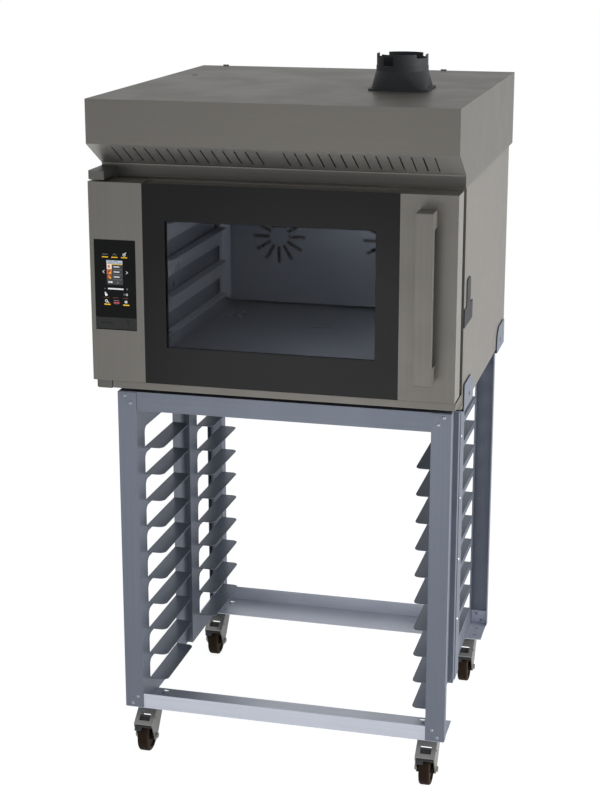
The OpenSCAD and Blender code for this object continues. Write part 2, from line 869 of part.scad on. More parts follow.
module door_gasket() {
    in_frame() color("#303030") difference() {
        along_y(rim_y0 - seal_d, rim_y0) cavity_outline(rim_w - (rim_w - seal_w) / 2);
        along_y(rim_y0 - seal_d - over, rim_y0 + over) cavity_outline((rim_w - seal_w) / 2);
    }
}

// Exhaust from the cavity's top into the hood
exhaust_x = -150;
exhaust_y = 650;
exhaust_r = 25;
exhaust_wall = 1.5;
exhaust_rise = 24;

shaft_r = 8;
stud_r = 4;
cavity_flange = 12;
drain_z = cavity_z0 - drain_drop;

// Pressed steel muffle with a front flange, open shaft holes, rack studs and a welded drain
module cavity() {
    in_frame() color("silver") {
        difference() {
            union() {
                along_y(plate_y1, cavity_y1 + cover_t) cavity_outline(cover_t);
                along_y(plate_y1, plate_y1 + cover_t) cavity_outline(cavity_flange);
            }
            along_y(plate_y1 - over, cavity_y1) cavity_outline(0);
            for (side = [-1, 1])
                rod_y(side * fan_pitch / 2, [cavity_y1 - over, cavity_y1 + cover_t + over],
                    cavity_mid, shaft_r + gap);
            rod_z(exhaust_x, exhaust_y, [cavity_z1 - over, cavity_z1 + cover_t + over],
                exhaust_r - exhaust_wall);
            rod_z(0, drain_y, [cavity_z0 - cover_t - over, cavity_z0 + over],
                drain_r - drain_wall);
        }
        both_sides() for (y = [rack_y0 + rack_stud_inset, rack_y1 - rack_stud_inset],
            z = [rack_z0 + rack_stud_inset, rack_z1 - rack_stud_inset])
            rod_x([rack_x + rack_t, cavity_w / 2 + cover_t / 2], y, z, stud_r);
        difference() {
            union() {
                rod_z(0, drain_y, [drain_z, cavity_z0 - cover_t], drain_r);
                rod_y(0, [drain_y, body_y1 + fitting_l], drain_z, drain_r);
                rod_y(0, [body_y1 + joint_gap, body_y1 + fitting_l], drain_z, drain_socket_r);
                translate([0, drain_y, drain_z]) sphere(r = drain_r);
            }
            rod_z(0, drain_y, [drain_z, cavity_z0 + over], drain_r - drain_wall);
            rod_y(0, [drain_y, body_y1 + fitting_l + over], drain_z, drain_r - drain_wall);
            translate([0, drain_y, drain_z]) sphere(r = drain_r - drain_wall);
        }
    }
}

insulation_gap = 0.5;

module insulation() {
    y0 = plate_y1 + cover_t + insulation_gap;
    in_frame() color("khaki") difference() {
        along_y(y0, insulation_y1) cavity_outline(cover_t + insulation_t);
        along_y(y0 - over, cavity_y1 + cover_t + insulation_gap)
            cavity_outline(cover_t + insulation_gap);
        for (side = [-1, 1])
            rod_y(side * fan_pitch / 2, [cavity_y1, insulation_y1 + over], cavity_mid,
                shaft_r + gap);
        rod_z(exhaust_x, exhaust_y, [cavity_z1, cavity_z1 + insulation_t + 2 * over],
            exhaust_r + insulation_gap);
        rod_z(0, drain_y, [cavity_z0 - insulation_t - 2 * over, cavity_z0],
            drain_r + insulation_gap);
    }
}

// Fan baffle: a plate with a ring of suction slots in front of each fan, on four posts
baffle_edge = 8;
baffle_post_r = 5;
baffle_slots = 12;
baffle_slot_w = 9;
baffle_slot_r0 = 24;
baffle_slot_r1 = 66;

module fan_baffle() {
    half_w = cavity_w / 2 - baffle_edge;
    in_frame() color("silver") {
        difference() {
            along_y(baffle_y, baffle_y + cover_t) translate([0, cavity_mid])
                round_rect(2 * half_w, cavity_h - 2 * baffle_edge, cavity_r - baffle_edge);
            for (side = [-1, 1], i = [0 : baffle_slots - 1])
                translate([side * fan_pitch / 2, 0, cavity_mid])
                    rotate([0, i * 360 / baffle_slots, 0])
                        block([-baffle_slot_w / 2, baffle_slot_w / 2],
                            [baffle_y - over, baffle_y + cover_t + over],
                            [baffle_slot_r0, baffle_slot_r1]);
        }
        for (x = [-1, 1], z = [-1, 1])
            rod_y(x * (half_w - cavity_r), [baffle_y + cover_t, cavity_y1],
                cavity_mid + z * (cavity_h / 2 - baffle_edge - cavity_r / 2), baffle_post_r);
    }
}

// Cavity racks: a side sheet with runners folded out of it, on studs
rack_t = 1.5;
rack_x = cavity_w / 2 - rack_gap - rack_t;
rack_front_gap = 27;
rack_rear_gap = 7;
rack_y0 = plate_y1 + rack_front_gap;
rack_y1 = baffle_y - rack_rear_gap;
rack_z0 = cavity_z0 + cavity_r / 2;
rack_z1 = cavity_z1 - cavity_r / 2;
rack_stud_inset = 14;
rack_margin = 24;
rack_window = 38;
rack_r = 6;

function rack_level(i) = cavity_z0 + rack_low + i * rack_pitch;

module rack() {
    length = rack_y1 - rack_y0 - 2 * rack_margin;
    difference() {
        union() {
            block([rack_x, rack_x + rack_t], [rack_y0, rack_y1], [rack_z0, rack_z1]);
            for (i = [0 : rack_levels - 1])
                translate([rack_x + rack_t, rack_y0 + rack_margin, rack_level(i) - rack_t])
                    mirror([1, 0, 0]) linear_extrude(rack_t)
                        slide_plan(length, rack_w + rack_t, rack_r);
            // Flange across the rack's rear end
            block([rack_x - rack_w, rack_x + rack_t], [rack_y1 - rack_t, rack_y1],
                [rack_z0, rack_z1]);
        }
        for (i = [0 : rack_levels - 1])
            translate([0, rack_y0 + rack_margin, rack_level(i)])
                along_x(rack_x - over, rack_x + rack_t + over)
                    slide_opening(length, rack_window, rack_r);
    }
}

module rack_left() { in_frame() color("gainsboro") mirror([1, 0, 0]) rack(); }

module rack_right() { in_frame() color("gainsboro") rack(); }

// Centrifugal fan on its motor shaft: back disc, hub, curved blades and a front ring
fan_depth = 46;
fan_clear = 12;
fan_disc_t = 2;
fan_hub_r = 18;
fan_inner_share = 0.62;
blade_t = 1.5;
blade_lean = 28;
motor_r = 42;
motor_l = 50;
motor_flange_r = 50;
motor_flange_t = 3;
shaft_seat = 18;

module fan() {
    back = cavity_y1 - fan_clear;
    front = back - fan_depth;
    inner_r = fan_r * fan_inner_share;
    blade_l = (fan_r - inner_r) / cos(blade_lean);
    rod_y(0, [back - fan_disc_t, back], 0, fan_r);
    rod_y(0, [back - fan_depth / 2, back], 0, fan_hub_r);
    rod_y(0, [back - fan_disc_t, insulation_y1 + shaft_seat], 0, shaft_r);
    difference() {
        rod_y(0, [front, front + fan_disc_t], 0, fan_r);
        rod_y(0, [front - over, front + fan_disc_t + over], 0, inner_r);
    }
    intersection() {
        for (i = [0 : fan_blades - 1]) rotate([0, i * 360 / fan_blades, 0])
            translate([inner_r, 0, 0]) rotate([0, -blade_lean, 0])
                block([0, blade_l], [front + fan_disc_t / 2, back - fan_disc_t / 2],
                    [-blade_t / 2, blade_t / 2]);
        rod_y(0, [front, back], 0, fan_r);
    }
}

module fan_left() { in_frame() color("silver") translate([-fan_pitch / 2, 0, cavity_mid]) fan(); }

module fan_right() { in_frame() color("silver") translate([fan_pitch / 2, 0, cavity_mid]) fan(); }

motor_rib_r = 3;
motor_ribs = 12;

// Motors on the back of the insulation, each ribbed and bored for its shaft
module fan_motors() {
    in_frame() color("dimgray") for (side = [-1, 1]) translate([side * fan_pitch / 2, 0, cavity_mid])
        difference() {
            union() {
                rod_y(0, [insulation_y1, insulation_y1 + motor_flange_t], 0, motor_flange_r);
                rod_y(0, [insulation_y1, insulation_y1 + motor_l], 0, motor_r);
                for (i = [0 : motor_ribs - 1]) rotate([0, i * 360 / motor_ribs, 0])
                    rod_y(motor_r, [insulation_y1, insulation_y1 + motor_l - motor_flange_t],
                        0, motor_rib_r);
            }
            rod_y(0, [insulation_y1 - over, insulation_y1 + shaft_seat + gap], 0, shaft_r + fit);
        }
}

element_r = 4;
element_sleeve_r = 6;
element_gap = 9;
element_step = 20;

// Heating elements: two rings round each fan on two sleeved legs from the back wall
module heating_elements() {
    ring_r = fan_r + element_gap + element_r;
    leg_x = element_step;
    leg_z = -sqrt(ring_r * ring_r - leg_x * leg_x);
    mid_y = cavity_y1 - fan_clear - fan_depth / 2;
    in_frame() color("darkgray") for (side = [-1, 1])
        translate([side * fan_pitch / 2, 0, cavity_mid]) {
            for (y = [mid_y - element_step / 2, mid_y + element_step / 2])
                translate([0, y, 0]) rotate([90, 0, 0])
                    rotate_extrude() translate([ring_r, 0]) circle(element_r, $fn = 24);
            for (x = [-leg_x, leg_x])
                rod_y(x, [mid_y - element_step / 2 - element_sleeve_r, cavity_y1], leg_z,
                    element_sleeve_r);
        }
}

hinge_x0 = -side_x;
hinge_x1 = -side_x + hinge_w;
gutter_side_gap = 2;

// Drip gutter under the door: an open channel from the hinge block to the free side
module drip_gutter() {
    x0 = hinge_x1 + gutter_side_gap;
    z1 = door_z0 - gutter_gap;
    z0 = z1 - gutter_h;
    in_frame() color("darkgray") difference() {
        block([x0, side_x], [gutter_front, body_setback], [z0, z1]);
        block([x0 + cover_t, side_x - cover_t],
            [gutter_front + cover_t, body_setback - cover_t], [z0 + cover_t, z1 + over]);
    }
}

// Cover over the door latch on the right side: a wide foot and a narrow upper arm
latch_t = 2;
latch_foot_l = 112;
latch_foot_h = 40;
latch_arm_y = 32;
latch_arm_l = 48;
latch_arm_h = 60;
latch_arm_r = 12;
latch_low = 180;

module latch_cover() {
    in_frame() color("gray") {
        translate([0, body_setback, body_z0 + latch_low]) along_x(side_x, side_x + latch_t) {
            square([latch_foot_l, latch_foot_h]);
            translate([latch_arm_y, 0])
                square([latch_arm_l, latch_foot_h + latch_arm_h - latch_arm_r]);
            translate([latch_arm_y + latch_arm_r, 0])
                square([latch_arm_l - 2 * latch_arm_r, latch_foot_h + latch_arm_h]);
            for (y = [latch_arm_r, latch_arm_l - latch_arm_r])
                translate([latch_arm_y + y, latch_foot_h + latch_arm_h - latch_arm_r])
                    circle(latch_arm_r);
        }
    }
}

hinge_x = -side_x + hinge_side;
hinge_leg_t = 15;
hinge_leg_h = 34;
hinge_foot_h = 12;
hinge_low_front = 17;
hinge_pin_l = 18;
hinge_chamfer = 6;

// Plan of a hinge block, with its outer front corner cut off
module hinge_plan(y0, y1) {
    polygon([[hinge_x0 + hinge_chamfer, y0], [hinge_x1, y0], [hinge_x1, y1], [hinge_x0, y1],
        [hinge_x0, y0 + hinge_chamfer]]);
}

// Hinge blocks over and under the door, each with its pin
module hinge_brackets() {
    top_z = door_z1 + hinge_gap;
    low_z = door_z0 - hinge_gap;
    leg_y1 = slope_back - gap;
    in_frame() color("gray") {
        translate([0, 0, top_z]) linear_extrude(hinge_h) hinge_plan(0, leg_y1);
        block([hinge_x0, hinge_x1], [leg_y1 - hinge_leg_t, leg_y1],
            [top_z - hinge_leg_h, top_z]);
        block([hinge_x0, hinge_x1], [leg_y1 - hinge_leg_t, body_setback],
            [top_z - hinge_leg_h, top_z - hinge_leg_h + hinge_foot_h]);
        rod_z(hinge_x, hinge_back, [door_z1 - hinge_pin_l, top_z + hinge_h / 2], hinge_pin_r);
        translate([0, 0, low_z - hinge_h]) linear_extrude(hinge_h)
            hinge_plan(hinge_low_front, body_setback);
        rod_z(hinge_x, hinge_back, [low_z - hinge_h / 2, door_z0 + hinge_pin_l], hinge_pin_r);
    }
}

// Power board at the left of the cavity, on four spacers from the casing
board_t = 1.6;
board_room = side_x - cavity_w / 2 - 2 * cover_t - insulation_t;
board_gap = board_room / 8;
board_l = 260;
board_h = 240;
board_y = 300;
board_low = 100;
spacer_r = 3;
// Parts on the board: place along Y and Z, side, and height as a share of the room
part_sizes = [[30, 60, 34, 0.27], [120, 40, 60, 0.37], [180, 120, 50, 0.49],
    [40, 150, 80, 0.32]];

module power_board() {
    x0 = -side_x + cover_t;
    z0 = body_z0 + board_low;
    in_frame() color("seagreen") {
        block([x0 + board_gap, x0 + board_gap + board_t], [board_y, board_y + board_l],
            [z0, z0 + board_h]);
        for (y = [spacer_r * 3, board_l - spacer_r * 3], z = [spacer_r * 3, board_h - spacer_r * 3])
            rod_x([x0, x0 + board_gap], board_y + y, z0 + z, spacer_r);
        for (p = part_sizes)
            block([x0 + board_gap + board_t, x0 + board_gap + board_t + p[3] * board_room],
                [board_y + p[0], board_y + p[0] + p[2]], [z0 + p[1], z0 + p[1] + p[2]]);
    }
}

exhaust_z1 = body_z1 + cover_t + exhaust_rise;

module exhaust_pipe() {
    in_frame() color("silver") difference() {
        rod_z(exhaust_x, exhaust_y, [cavity_z1 + cover_t, exhaust_z1], exhaust_r);
        rod_z(exhaust_x, exhaust_y, [cavity_z1, exhaust_z1 + over], exhaust_r - exhaust_wall);
    }
}

fitting_flange_t = 4;
fitting_flange_r = 20;

// Water inlet and cable gland on the rear panel
module rear_fittings() {
    inside = body_y1 - cover_t - fitting_flange_t;
    in_frame() color("goldenrod") {
        difference() {
            union() {
                rod_y(fitting_x, [inside, body_y1 + fitting_l], body_z0 + fitting_z,
                    fitting_r - joint_gap);
                rod_y(fitting_x, [body_y1 + joint_gap, body_y1 + fitting_l],
                    body_z0 + fitting_z, fitting_r);
                rod_y(fitting_x, [inside, body_y1 - cover_t], body_z0 + fitting_z,
                    fitting_flange_r);
            }
            rod_y(fitting_x, [inside - over, body_y1 + fitting_l + over], body_z0 + fitting_z,
                fitting_r / 2);
        }
        difference() {
            union() {
                rod_y(fitting_x, [inside, body_y1 + fitting_l], body_z0 + gland_z, gland_r);
                rod_y(fitting_x, [inside, body_y1 - cover_t], body_z0 + gland_z,
                    fitting_flange_r);
            }
            rod_y(fitting_x, [inside - over, body_y1 + fitting_l + over], body_z0 + gland_z,
                gland_bore_r);
        }
    }
}

// Door

panel_x0 = -side_x + panel_edge;
panel_x1 = panel_x0 + panel_w;
panel_z1 = door_z1 - panel_top;
panel_z0 = panel_z1 - panel_h;
flap_z1 = panel_z0 + flap_h;
panel_gap = 0.5;

// Box channel of folded sheet, open at the back, from x0 to x1
module door_channel(x0, x1) {
    difference() {
        block([x0, x1], [0, door_back_y], [door_z0, door_z1]);
        block([x0 + cover_t, x1 - cover_t], [cover_t, door_back_y + over],
            [door_z0 + cover_t, door_z1 - cover_t]);
    }
}

// Left housing, with the cut-out for the control panel and holes for the hinge pins
module door_left_housing() {
    in_frame() color("darkgray") difference() {
        door_channel(-side_x, -glass_x);
        block([panel_x0 - panel_gap, panel_x1 + panel_gap], [-over, cover_t + over],
            [panel_z0 - panel_gap, panel_z1 + panel_gap]);
        for (z = [door_z0, door_z1 - cover_t])
            rod_z(hinge_x, hinge_back, [z - over, z + cover_t + over], hinge_pin_r + gap);
    }
}

module door_right_housing() { in_frame() color("darkgray") door_channel(glass_x, side_x); }

// Back pan of the door: the rear sheet with the window, and walls behind the outer glass
pan_gap = 3;
pane_lap = 13;
window_inset = 45;
window_edge_z = 8;
window_half = cavity_w / 2 - window_inset;
window_z0 = cavity_z0 + window_edge_z;
window_z1 = cavity_z1 - window_edge_z;

module door_back_frame() {
    inner_x = side_x - joint_gap;
    in_frame() color("gray") difference() {
        union() {
            block([-inner_x, inner_x], [door_back_y, door_d], [door_z0, door_z1]);
            block([-glass_x + joint_gap, glass_x - joint_gap],
                [outer_glass_t, door_d], [door_z0 + pan_gap, door_z1 - pan_gap]);
        }
        block([-glass_x + joint_gap + cover_t, glass_x - joint_gap - cover_t],
            [0, door_back_y], [door_z0 + pan_gap + cover_t, door_z1 - pan_gap - cover_t]);
        block([-window_half, window_half], [0, door_d + over], [window_z0, window_z1]);
        rod_y(catch_x, [door_back_y - over, door_d + over], cavity_mid, catch_head_r + catch_gap);
    }
}

module door_outer_glass() {
    in_frame() color("#2c2d2d") block([-glass_x + joint_gap, glass_x - joint_gap], [0, outer_glass_t],
        [door_z0, door_z1]);
}

module door_inner_glass() {
    in_frame() color("lightblue") block([-window_half - pane_lap, window_half + pane_lap],
        [door_back_y - inner_glass_t, door_back_y], [window_z0 - pane_lap, window_z1 + pane_lap]);
}

// Handle: a flat bar on two ends, with a rounded finger gap behind it
handle_x1 = side_x - handle_edge;
handle_x0 = handle_x1 - handle_w;
handle_z1 = door_z1 - handle_top;
handle_z0 = handle_z1 - handle_h;
handle_round = 3;
finger_r = 8;

module door_handle() {
    gap_d = handle_reach - handle_t;
    gap_h = handle_h - 2 * handle_end;
    in_frame() color("darkgray") translate([0, 0, (handle_z0 + handle_z1) / 2])
        along_x(handle_x0, handle_x1) difference() {
            translate([-handle_reach / 2, 0]) union() {
                round_rect(handle_reach, handle_h, handle_round);
                translate([0, -handle_h / 2]) square([handle_reach / 2, handle_h]);
            }
            translate([-gap_d / 2, 0]) round_rect(gap_d, gap_h, finger_r);
            translate([-gap_d + finger_r, -gap_h / 2]) square([gap_d, gap_h]);
        }
}

display_t = 3.5;

// Touch display: one flat glass over the upper part of the control panel
module control_display() {
    in_frame() color("#141516") block([panel_x0, panel_x1],
        [-panel_proud, display_t - panel_proud], [flap_z1 + panel_gap / 2, panel_z1]);
}

box_edge = 4.8;
box_d = 28;
box_wall = 2;
flap_pocket = 9;
flap_t = 4;
flap_pin_r = 1.5;
flap_pin_l = 3.5;
flap_proud = 0.5;

// Tray behind the panel: it carries the display, the flap's two pins and the electronics
module control_box() {
    x0 = panel_x0 - panel_gap;
    x1 = panel_x1 + panel_gap;
    seat = display_t - panel_proud;
    flap_axis_y = flap_t - flap_proud;
    flap_axis_z = panel_z0 + flap_t;
    in_frame() color("#202122") difference() {
        block([x0 - box_edge, x1 + box_edge], [cover_t, box_d],
            [panel_z0 - panel_gap - box_edge, panel_z1 + panel_gap + box_edge]);
        block([x0, x1], [0, seat], [panel_z0 - panel_gap, panel_z1 + panel_gap]);
        block([x0, x1], [0, flap_pocket], [panel_z0 - panel_gap, flap_z1]);
        block([x0 + box_edge, x1 - box_edge], [0, box_d - box_wall],
            [flap_z1 + box_edge, panel_z1 - box_edge]);
        rod_x([x0 - flap_pin_l - gap, x1 + flap_pin_l + gap], flap_axis_y, flap_axis_z,
            flap_pin_r + fit);
    }
}

// Service flap, hinged at its lower edge on a round barrel
module service_flap() {
    flap_axis_y = flap_t - flap_proud;
    flap_axis_z = panel_z0 + flap_t;
    in_frame() color("#3a3c3e") {
        block([panel_x0, panel_x1], [-flap_proud, flap_t - flap_proud],
            [flap_axis_z, flap_z1 - panel_gap]);
        rod_x([panel_x0, panel_x1], flap_axis_y, flap_axis_z, flap_t);
        rod_x([panel_x0 - flap_pin_l, panel_x1 + flap_pin_l], flap_axis_y, flap_axis_z,
            flap_pin_r);
    }
}

strip_w = 12;
strip_d = 10;
strip_gap = 1;

// Light strip on the door's back pan, beside the inner pane
module door_light_strip() {
    x1 = -window_half - pane_lap - strip_gap;
    in_frame() color("white") block([x1 - strip_w, x1], [door_back_y - strip_d, door_back_y],
        [window_z0, window_z1]);
}

bush_r = 11;

// Bushes inside the left housing, bored for the hinge pins
module hinge_bushes() {
    length = hinge_pin_l + cover_t;
    in_frame() color("goldenrod") for (z = [door_z0 + cover_t, door_z1 - cover_t - length])
        difference() {
            union() {
                rod_z(hinge_x, hinge_back, [z, z + length], bush_r);
                block([-side_x + cover_t, hinge_x], [hinge_back - bush_r / 2,
                    hinge_back + bush_r / 2], [z, z + length]);
            }
            rod_z(hinge_x, hinge_back, [z - over, z + length + over], hinge_pin_r + fit);
        }
}

// Hood

// Side outline of the hood, in Y and Z
module hood_outline() {
    polygon([[hood_y0, face_z0], [hood_y0, hood_z1], [hood_y1, hood_z1], [hood_y1, body_z1],
        [slope_back, body_z1], [slope_back, chin_z1]]);
}

// Small hole and two pressed lugs in the hood's top, as the photograph shows them
top_hole_r = 8;
top_hole_share = -0.8475;
top_hole_y = 572;
lug_w = 14;
lug_t = 3;
lug_l = 6;
lug_shares = [-0.8475, 0.56];

// Hood casing of folded sheet: sides, top, back and upright front face
module hood_casing() {
    in_frame() color("lightgray") {
        difference() {
            union() {
                along_x(-side_x, -side_x + cover_t) hood_outline();
                along_x(side_x - cover_t, side_x) hood_outline();
                block([-side_x, side_x], [hood_y0, hood_y1], [hood_z1 - cover_t, hood_z1]);
                block([-side_x, side_x], [hood_y0, hood_y0 + cover_t], [face_z0, hood_z1]);
                block([-side_x, side_x], [hood_y1 - cover_t, hood_y1], [body_z1, hood_z1]);
            }
            rod_z(flue_x, flue_y, [hood_z1 - cover_t - over, hood_z1 + over],
                flue_r - flue_wall);
            rod_z(top_hole_share * side_x, top_hole_y, [hood_z1 - cover_t - over, hood_z1 + over],
                top_hole_r);
        }
        for (x = lug_shares * side_x)
            block([x - lug_w / 2, x + lug_w / 2], [hood_y1 - lug_l, hood_y1],
                [hood_z1, hood_z1 + lug_t]);
    }
}

// One half of the slope: a sheet from the face's foot to the chin, with its row of slots
module hood_grille() {
    run = slope_back - hood_y0;
    drop = face_z0 - chin_z1;
    slope = atan2(drop, run);
    slope_l = norm([run, drop]);
    x1 = side_x - cover_t - joint_gap;
    difference() {
        along_x(joint_gap / 2, x1) polygon([[hood_y0, face_z0], [slope_back, chin_z1],
            [slope_back, body_z1 + cover_t], [slope_back + cover_t, body_z1 + cover_t],
            [slope_back + cover_t, chin_z1 + cover_t], [hood_y0 + cover_t, face_z0 + cover_t],
            [hood_y0 + cover_t, face_z0]]);
        for (i = [0 : slot_count - 1])
            translate([side_x - slot_side - i * slot_pitch, hood_y0, face_z0])
                rotate([-slope, 0, 0]) translate([0, (slope_l - slot_l) / 2, 0]) {
                    block([-slot_w / 2, slot_w / 2], [slot_w / 2, slot_l - slot_w / 2],
                        [-cover_t * 2, cover_t * 3]);
                    for (y = [slot_w / 2, slot_l - slot_w / 2])
                        rod_z(0, y, [-cover_t * 2, cover_t * 3], slot_w / 2);
                }
    }
}

module hood_grilles() { in_frame() color("darkgray") both_sides() hood_grille(); }

module hood_floor() {
    inner_x = side_x - cover_t - joint_gap;
    in_frame() color("gray") difference() {
        block([-inner_x, inner_x], [slope_back, hood_y1 - cover_t - joint_gap],
            [body_z1, body_z1 + cover_t]);
        rod_z(exhaust_x, exhaust_y, [body_z1 - over, body_z1 + cover_t + over],
            exhaust_r + joint_gap);
    }
}

// Condenser over the exhaust: a finned box on the hood's floor
condenser_w = 220;
condenser_d = 140;
condenser_h = 90;
condenser_fins = 10;
fin_t = 2;
fin_reach = 6;

module steam_condenser() {
    z0 = body_z1 + cover_t;
    in_frame() color("silver") difference() {
        union() {
            block([exhaust_x - condenser_w / 2, exhaust_x + condenser_w / 2],
                [exhaust_y - condenser_d / 2, exhaust_y + condenser_d / 2],
                [z0, z0 + condenser_h]);
            for (i = [0 : condenser_fins - 1])
                translate([exhaust_x - condenser_w / 2 + condenser_w * (i + 1) / (condenser_fins + 1),
                    0, 0])
                    block([-fin_t / 2, fin_t / 2], [exhaust_y - condenser_d / 2 - fin_reach,
                        exhaust_y + condenser_d / 2 + fin_reach],
                        [z0 + fin_reach, z0 + condenser_h - fin_reach]);
        }
        rod_z(exhaust_x, exhaust_y, [z0 - over, z0 + exhaust_rise + over], exhaust_r + joint_gap);
    }
}

// Axial blower under the flue: a tube hung from the hood's top, with its motor on a spider
blower_wall = 2;
blower_h = 110;
blower_flange = 12;
blower_motor_r = 24;
blower_motor_h = 36;
spider_arms = 4;
spider_t = 4;
blower_shaft_r = 4;
blower_hub_h = 30;
blower_blades = 7;
blower_blade_t = 2;
blower_pitch_angle = 38;
tip_gap = 2;
blower_r = flue_r - flue_wall;
blower_z1 = hood_z1 - cover_t;
blower_z0 = blower_z1 - blower_h;

module blower_housing() {
    motor_z1 = blower_z1 - spider_t;
    in_frame() color("dimgray") translate([flue_x, flue_y, 0]) difference() {
        union() {
            difference() {
                union() {
                    rod_z(0, 0, [blower_z0, blower_z1], blower_r + blower_wall);
                    rod_z(0, 0, [blower_z1 - blower_wall, blower_z1], blower_r + blower_flange);
                    rod_z(0, 0, [blower_z0, blower_z0 + blower_wall], blower_r + blower_flange);
                }
                rod_z(0, 0, [blower_z0 - over, blower_z1 + over], blower_r);
            }
            rod_z(0, 0, [motor_z1 - blower_motor_h, motor_z1], blower_motor_r);
            for (i = [0 : spider_arms - 1]) rotate([0, 0, i * 360 / spider_arms])
                block([0, blower_r + blower_wall / 2], [-spider_t / 2, spider_t / 2],
                    [motor_z1 - blower_motor_h / 2, motor_z1]);
        }
        rod_z(0, 0, [motor_z1 - blower_motor_h - over, motor_z1 - blower_motor_h / 2],
            blower_shaft_r + fit);
    }
}

module blower_impeller() {
    top = blower_z1 - spider_t - blower_motor_h - 2 * over;
    in_frame() color("#303030") translate([flue_x, flue_y, 0]) {
        rod_z(0, 0, [top - blower_hub_h, top], blower_motor_r);
        rod_z(0, 0, [top, top + blower_motor_h / 2], blower_shaft_r);
        intersection() {
            for (i = [0 : blower_blades - 1]) rotate([0, 0, i * 360 / blower_blades])
                translate([0, 0, top - blower_hub_h / 2]) rotate([blower_pitch_angle, 0, 0])
                    block([blower_motor_r / 2, blower_r], [-blower_hub_h / 2, blower_hub_h / 2],
                        [-blower_blade_t / 2, blower_blade_t / 2]);
            rod_z(0, 0, [top - blower_hub_h, top], blower_r - tip_gap);
        }
    }
}

// Flue collar: a square plate, a taper from square to round, and a spigot with a lugged rim
flue_corner_r = 18;
flue_seat_h = 10;
flue_relief = 1;
flue_notch_angles = [60, 120, 240, 300];
flue_notch_w = 33;
flue_port_w = 26;
flue_port_h = 20;
flue_port_rise = 11;
flue_port_angle = -114;

module flue_taper_form(base, corner, r) {
    hull() {
        linear_extrude(over / 2) offset(r = corner, $fn = 32)
            square(base - 2 * corner, center = true);
        translate([0, 0, flue_taper - over / 2]) cylinder(r = r, h = over / 2, $fn = 32);
    }
}

module flue_collar() {
    top = spigot_z1 + flue_lug;
    in_frame() color("#2b2c2e") translate([flue_x, flue_y, 0]) difference() {
        union() {
            translate([0, 0, hood_z1]) linear_extrude(flue_plate_t)
                round_rect(flue_base, flue_base, flue_corner_r);
            translate([0, 0, taper_z0])
                flue_taper_form(flue_base - 4 * flue_wall, flue_corner_r, flue_r);
            // Seat for the duct, and above it a slightly smaller lead-in
            rod_z(0, 0, [spigot_z0, spigot_z0 + flue_seat_h], flue_r);
            rod_z(0, 0, [spigot_z0, top], flue_r - flue_relief);
        }
        rod_z(0, 0, [hood_z1 - over, top + over], flue_r - flue_wall);
        // Gaps between the rim's lugs, and the port low in its front wall
        for (angle = flue_notch_angles) rotate([0, 0, angle - 90])
            block([0, flue_r + over], [-flue_notch_w / 2, flue_notch_w / 2],
                [spigot_z1, top + over]);
        rotate([0, 0, flue_port_angle])
            block([flue_r / 2, flue_r + over], [-flue_port_w / 2, flue_port_w / 2],
                [spigot_z0 + flue_port_rise, spigot_z0 + flue_port_rise + flue_port_h]);
    }
}

stand_side_left_front();
stand_side_left_rear();
stand_side_right_front();
stand_side_right_rear();
stand_top_rails();
stand_lower_rails();
oven_retaining_tabs();
stand_fasteners();
caster_plates();
caster_fork_front_left();
caster_wheel_front_left();
caster_pedal_front_left();
caster_fork_front_right();
caster_wheel_front_right();
caster_pedal_front_right();
caster_fork_rear_left();
caster_wheel_rear_left();
caster_pedal_rear_left();
caster_fork_rear_right();
caster_wheel_rear_right();
caster_pedal_rear_right();
oven_feet();
body_casing();
body_base();
body_rear_panel();
front_frame();
door_gasket();
cavity();
insulation();
fan_baffle();
rack_left();
rack_right();
fan_left();
fan_right();
fan_motors();
heating_elements();
drip_gutter();
latch_cover();
hinge_brackets();
power_board();
exhaust_pipe();
rear_fittings();
door_left_housing();
door_right_housing();
door_back_frame();
door_outer_glass();
door_inner_glass();
door_handle();
control_display();
control_box();
service_flap();
door_light_strip();
hinge_bushes();
hood_casing();
hood_grilles();
hood_floor();
steam_condenser();
blower_housing();
blower_impeller();
flue_collar();
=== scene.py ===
import math

import bmesh
import bpy
from mathutils import Matrix, Vector


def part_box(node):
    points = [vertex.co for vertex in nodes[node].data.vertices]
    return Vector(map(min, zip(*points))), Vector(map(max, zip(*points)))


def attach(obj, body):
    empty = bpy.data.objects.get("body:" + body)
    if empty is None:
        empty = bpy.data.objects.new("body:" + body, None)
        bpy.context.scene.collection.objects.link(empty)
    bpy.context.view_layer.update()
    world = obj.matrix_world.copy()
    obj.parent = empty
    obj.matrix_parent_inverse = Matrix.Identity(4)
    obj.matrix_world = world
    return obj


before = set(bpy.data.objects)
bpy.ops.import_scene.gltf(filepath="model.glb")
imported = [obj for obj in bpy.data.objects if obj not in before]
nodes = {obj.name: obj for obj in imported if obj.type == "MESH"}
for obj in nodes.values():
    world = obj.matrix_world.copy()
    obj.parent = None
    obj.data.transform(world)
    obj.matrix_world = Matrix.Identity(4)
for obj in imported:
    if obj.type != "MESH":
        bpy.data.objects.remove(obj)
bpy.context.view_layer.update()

# Camera
# It stands to the right of the oven and above it, as in the photograph. The lens is a
# long one, and the frame is lowered a little so that the casters are in it.

PHOTO_HEIGHT = 800  # pixels, as are the next two
FOCAL_LENGTH = 1699.5
FRAME_LOWERED = 50
DEGREES_RIGHT = 14.2
DEGREES_DOWN = 14.4
DOOR_FACE_Y = -0.39475

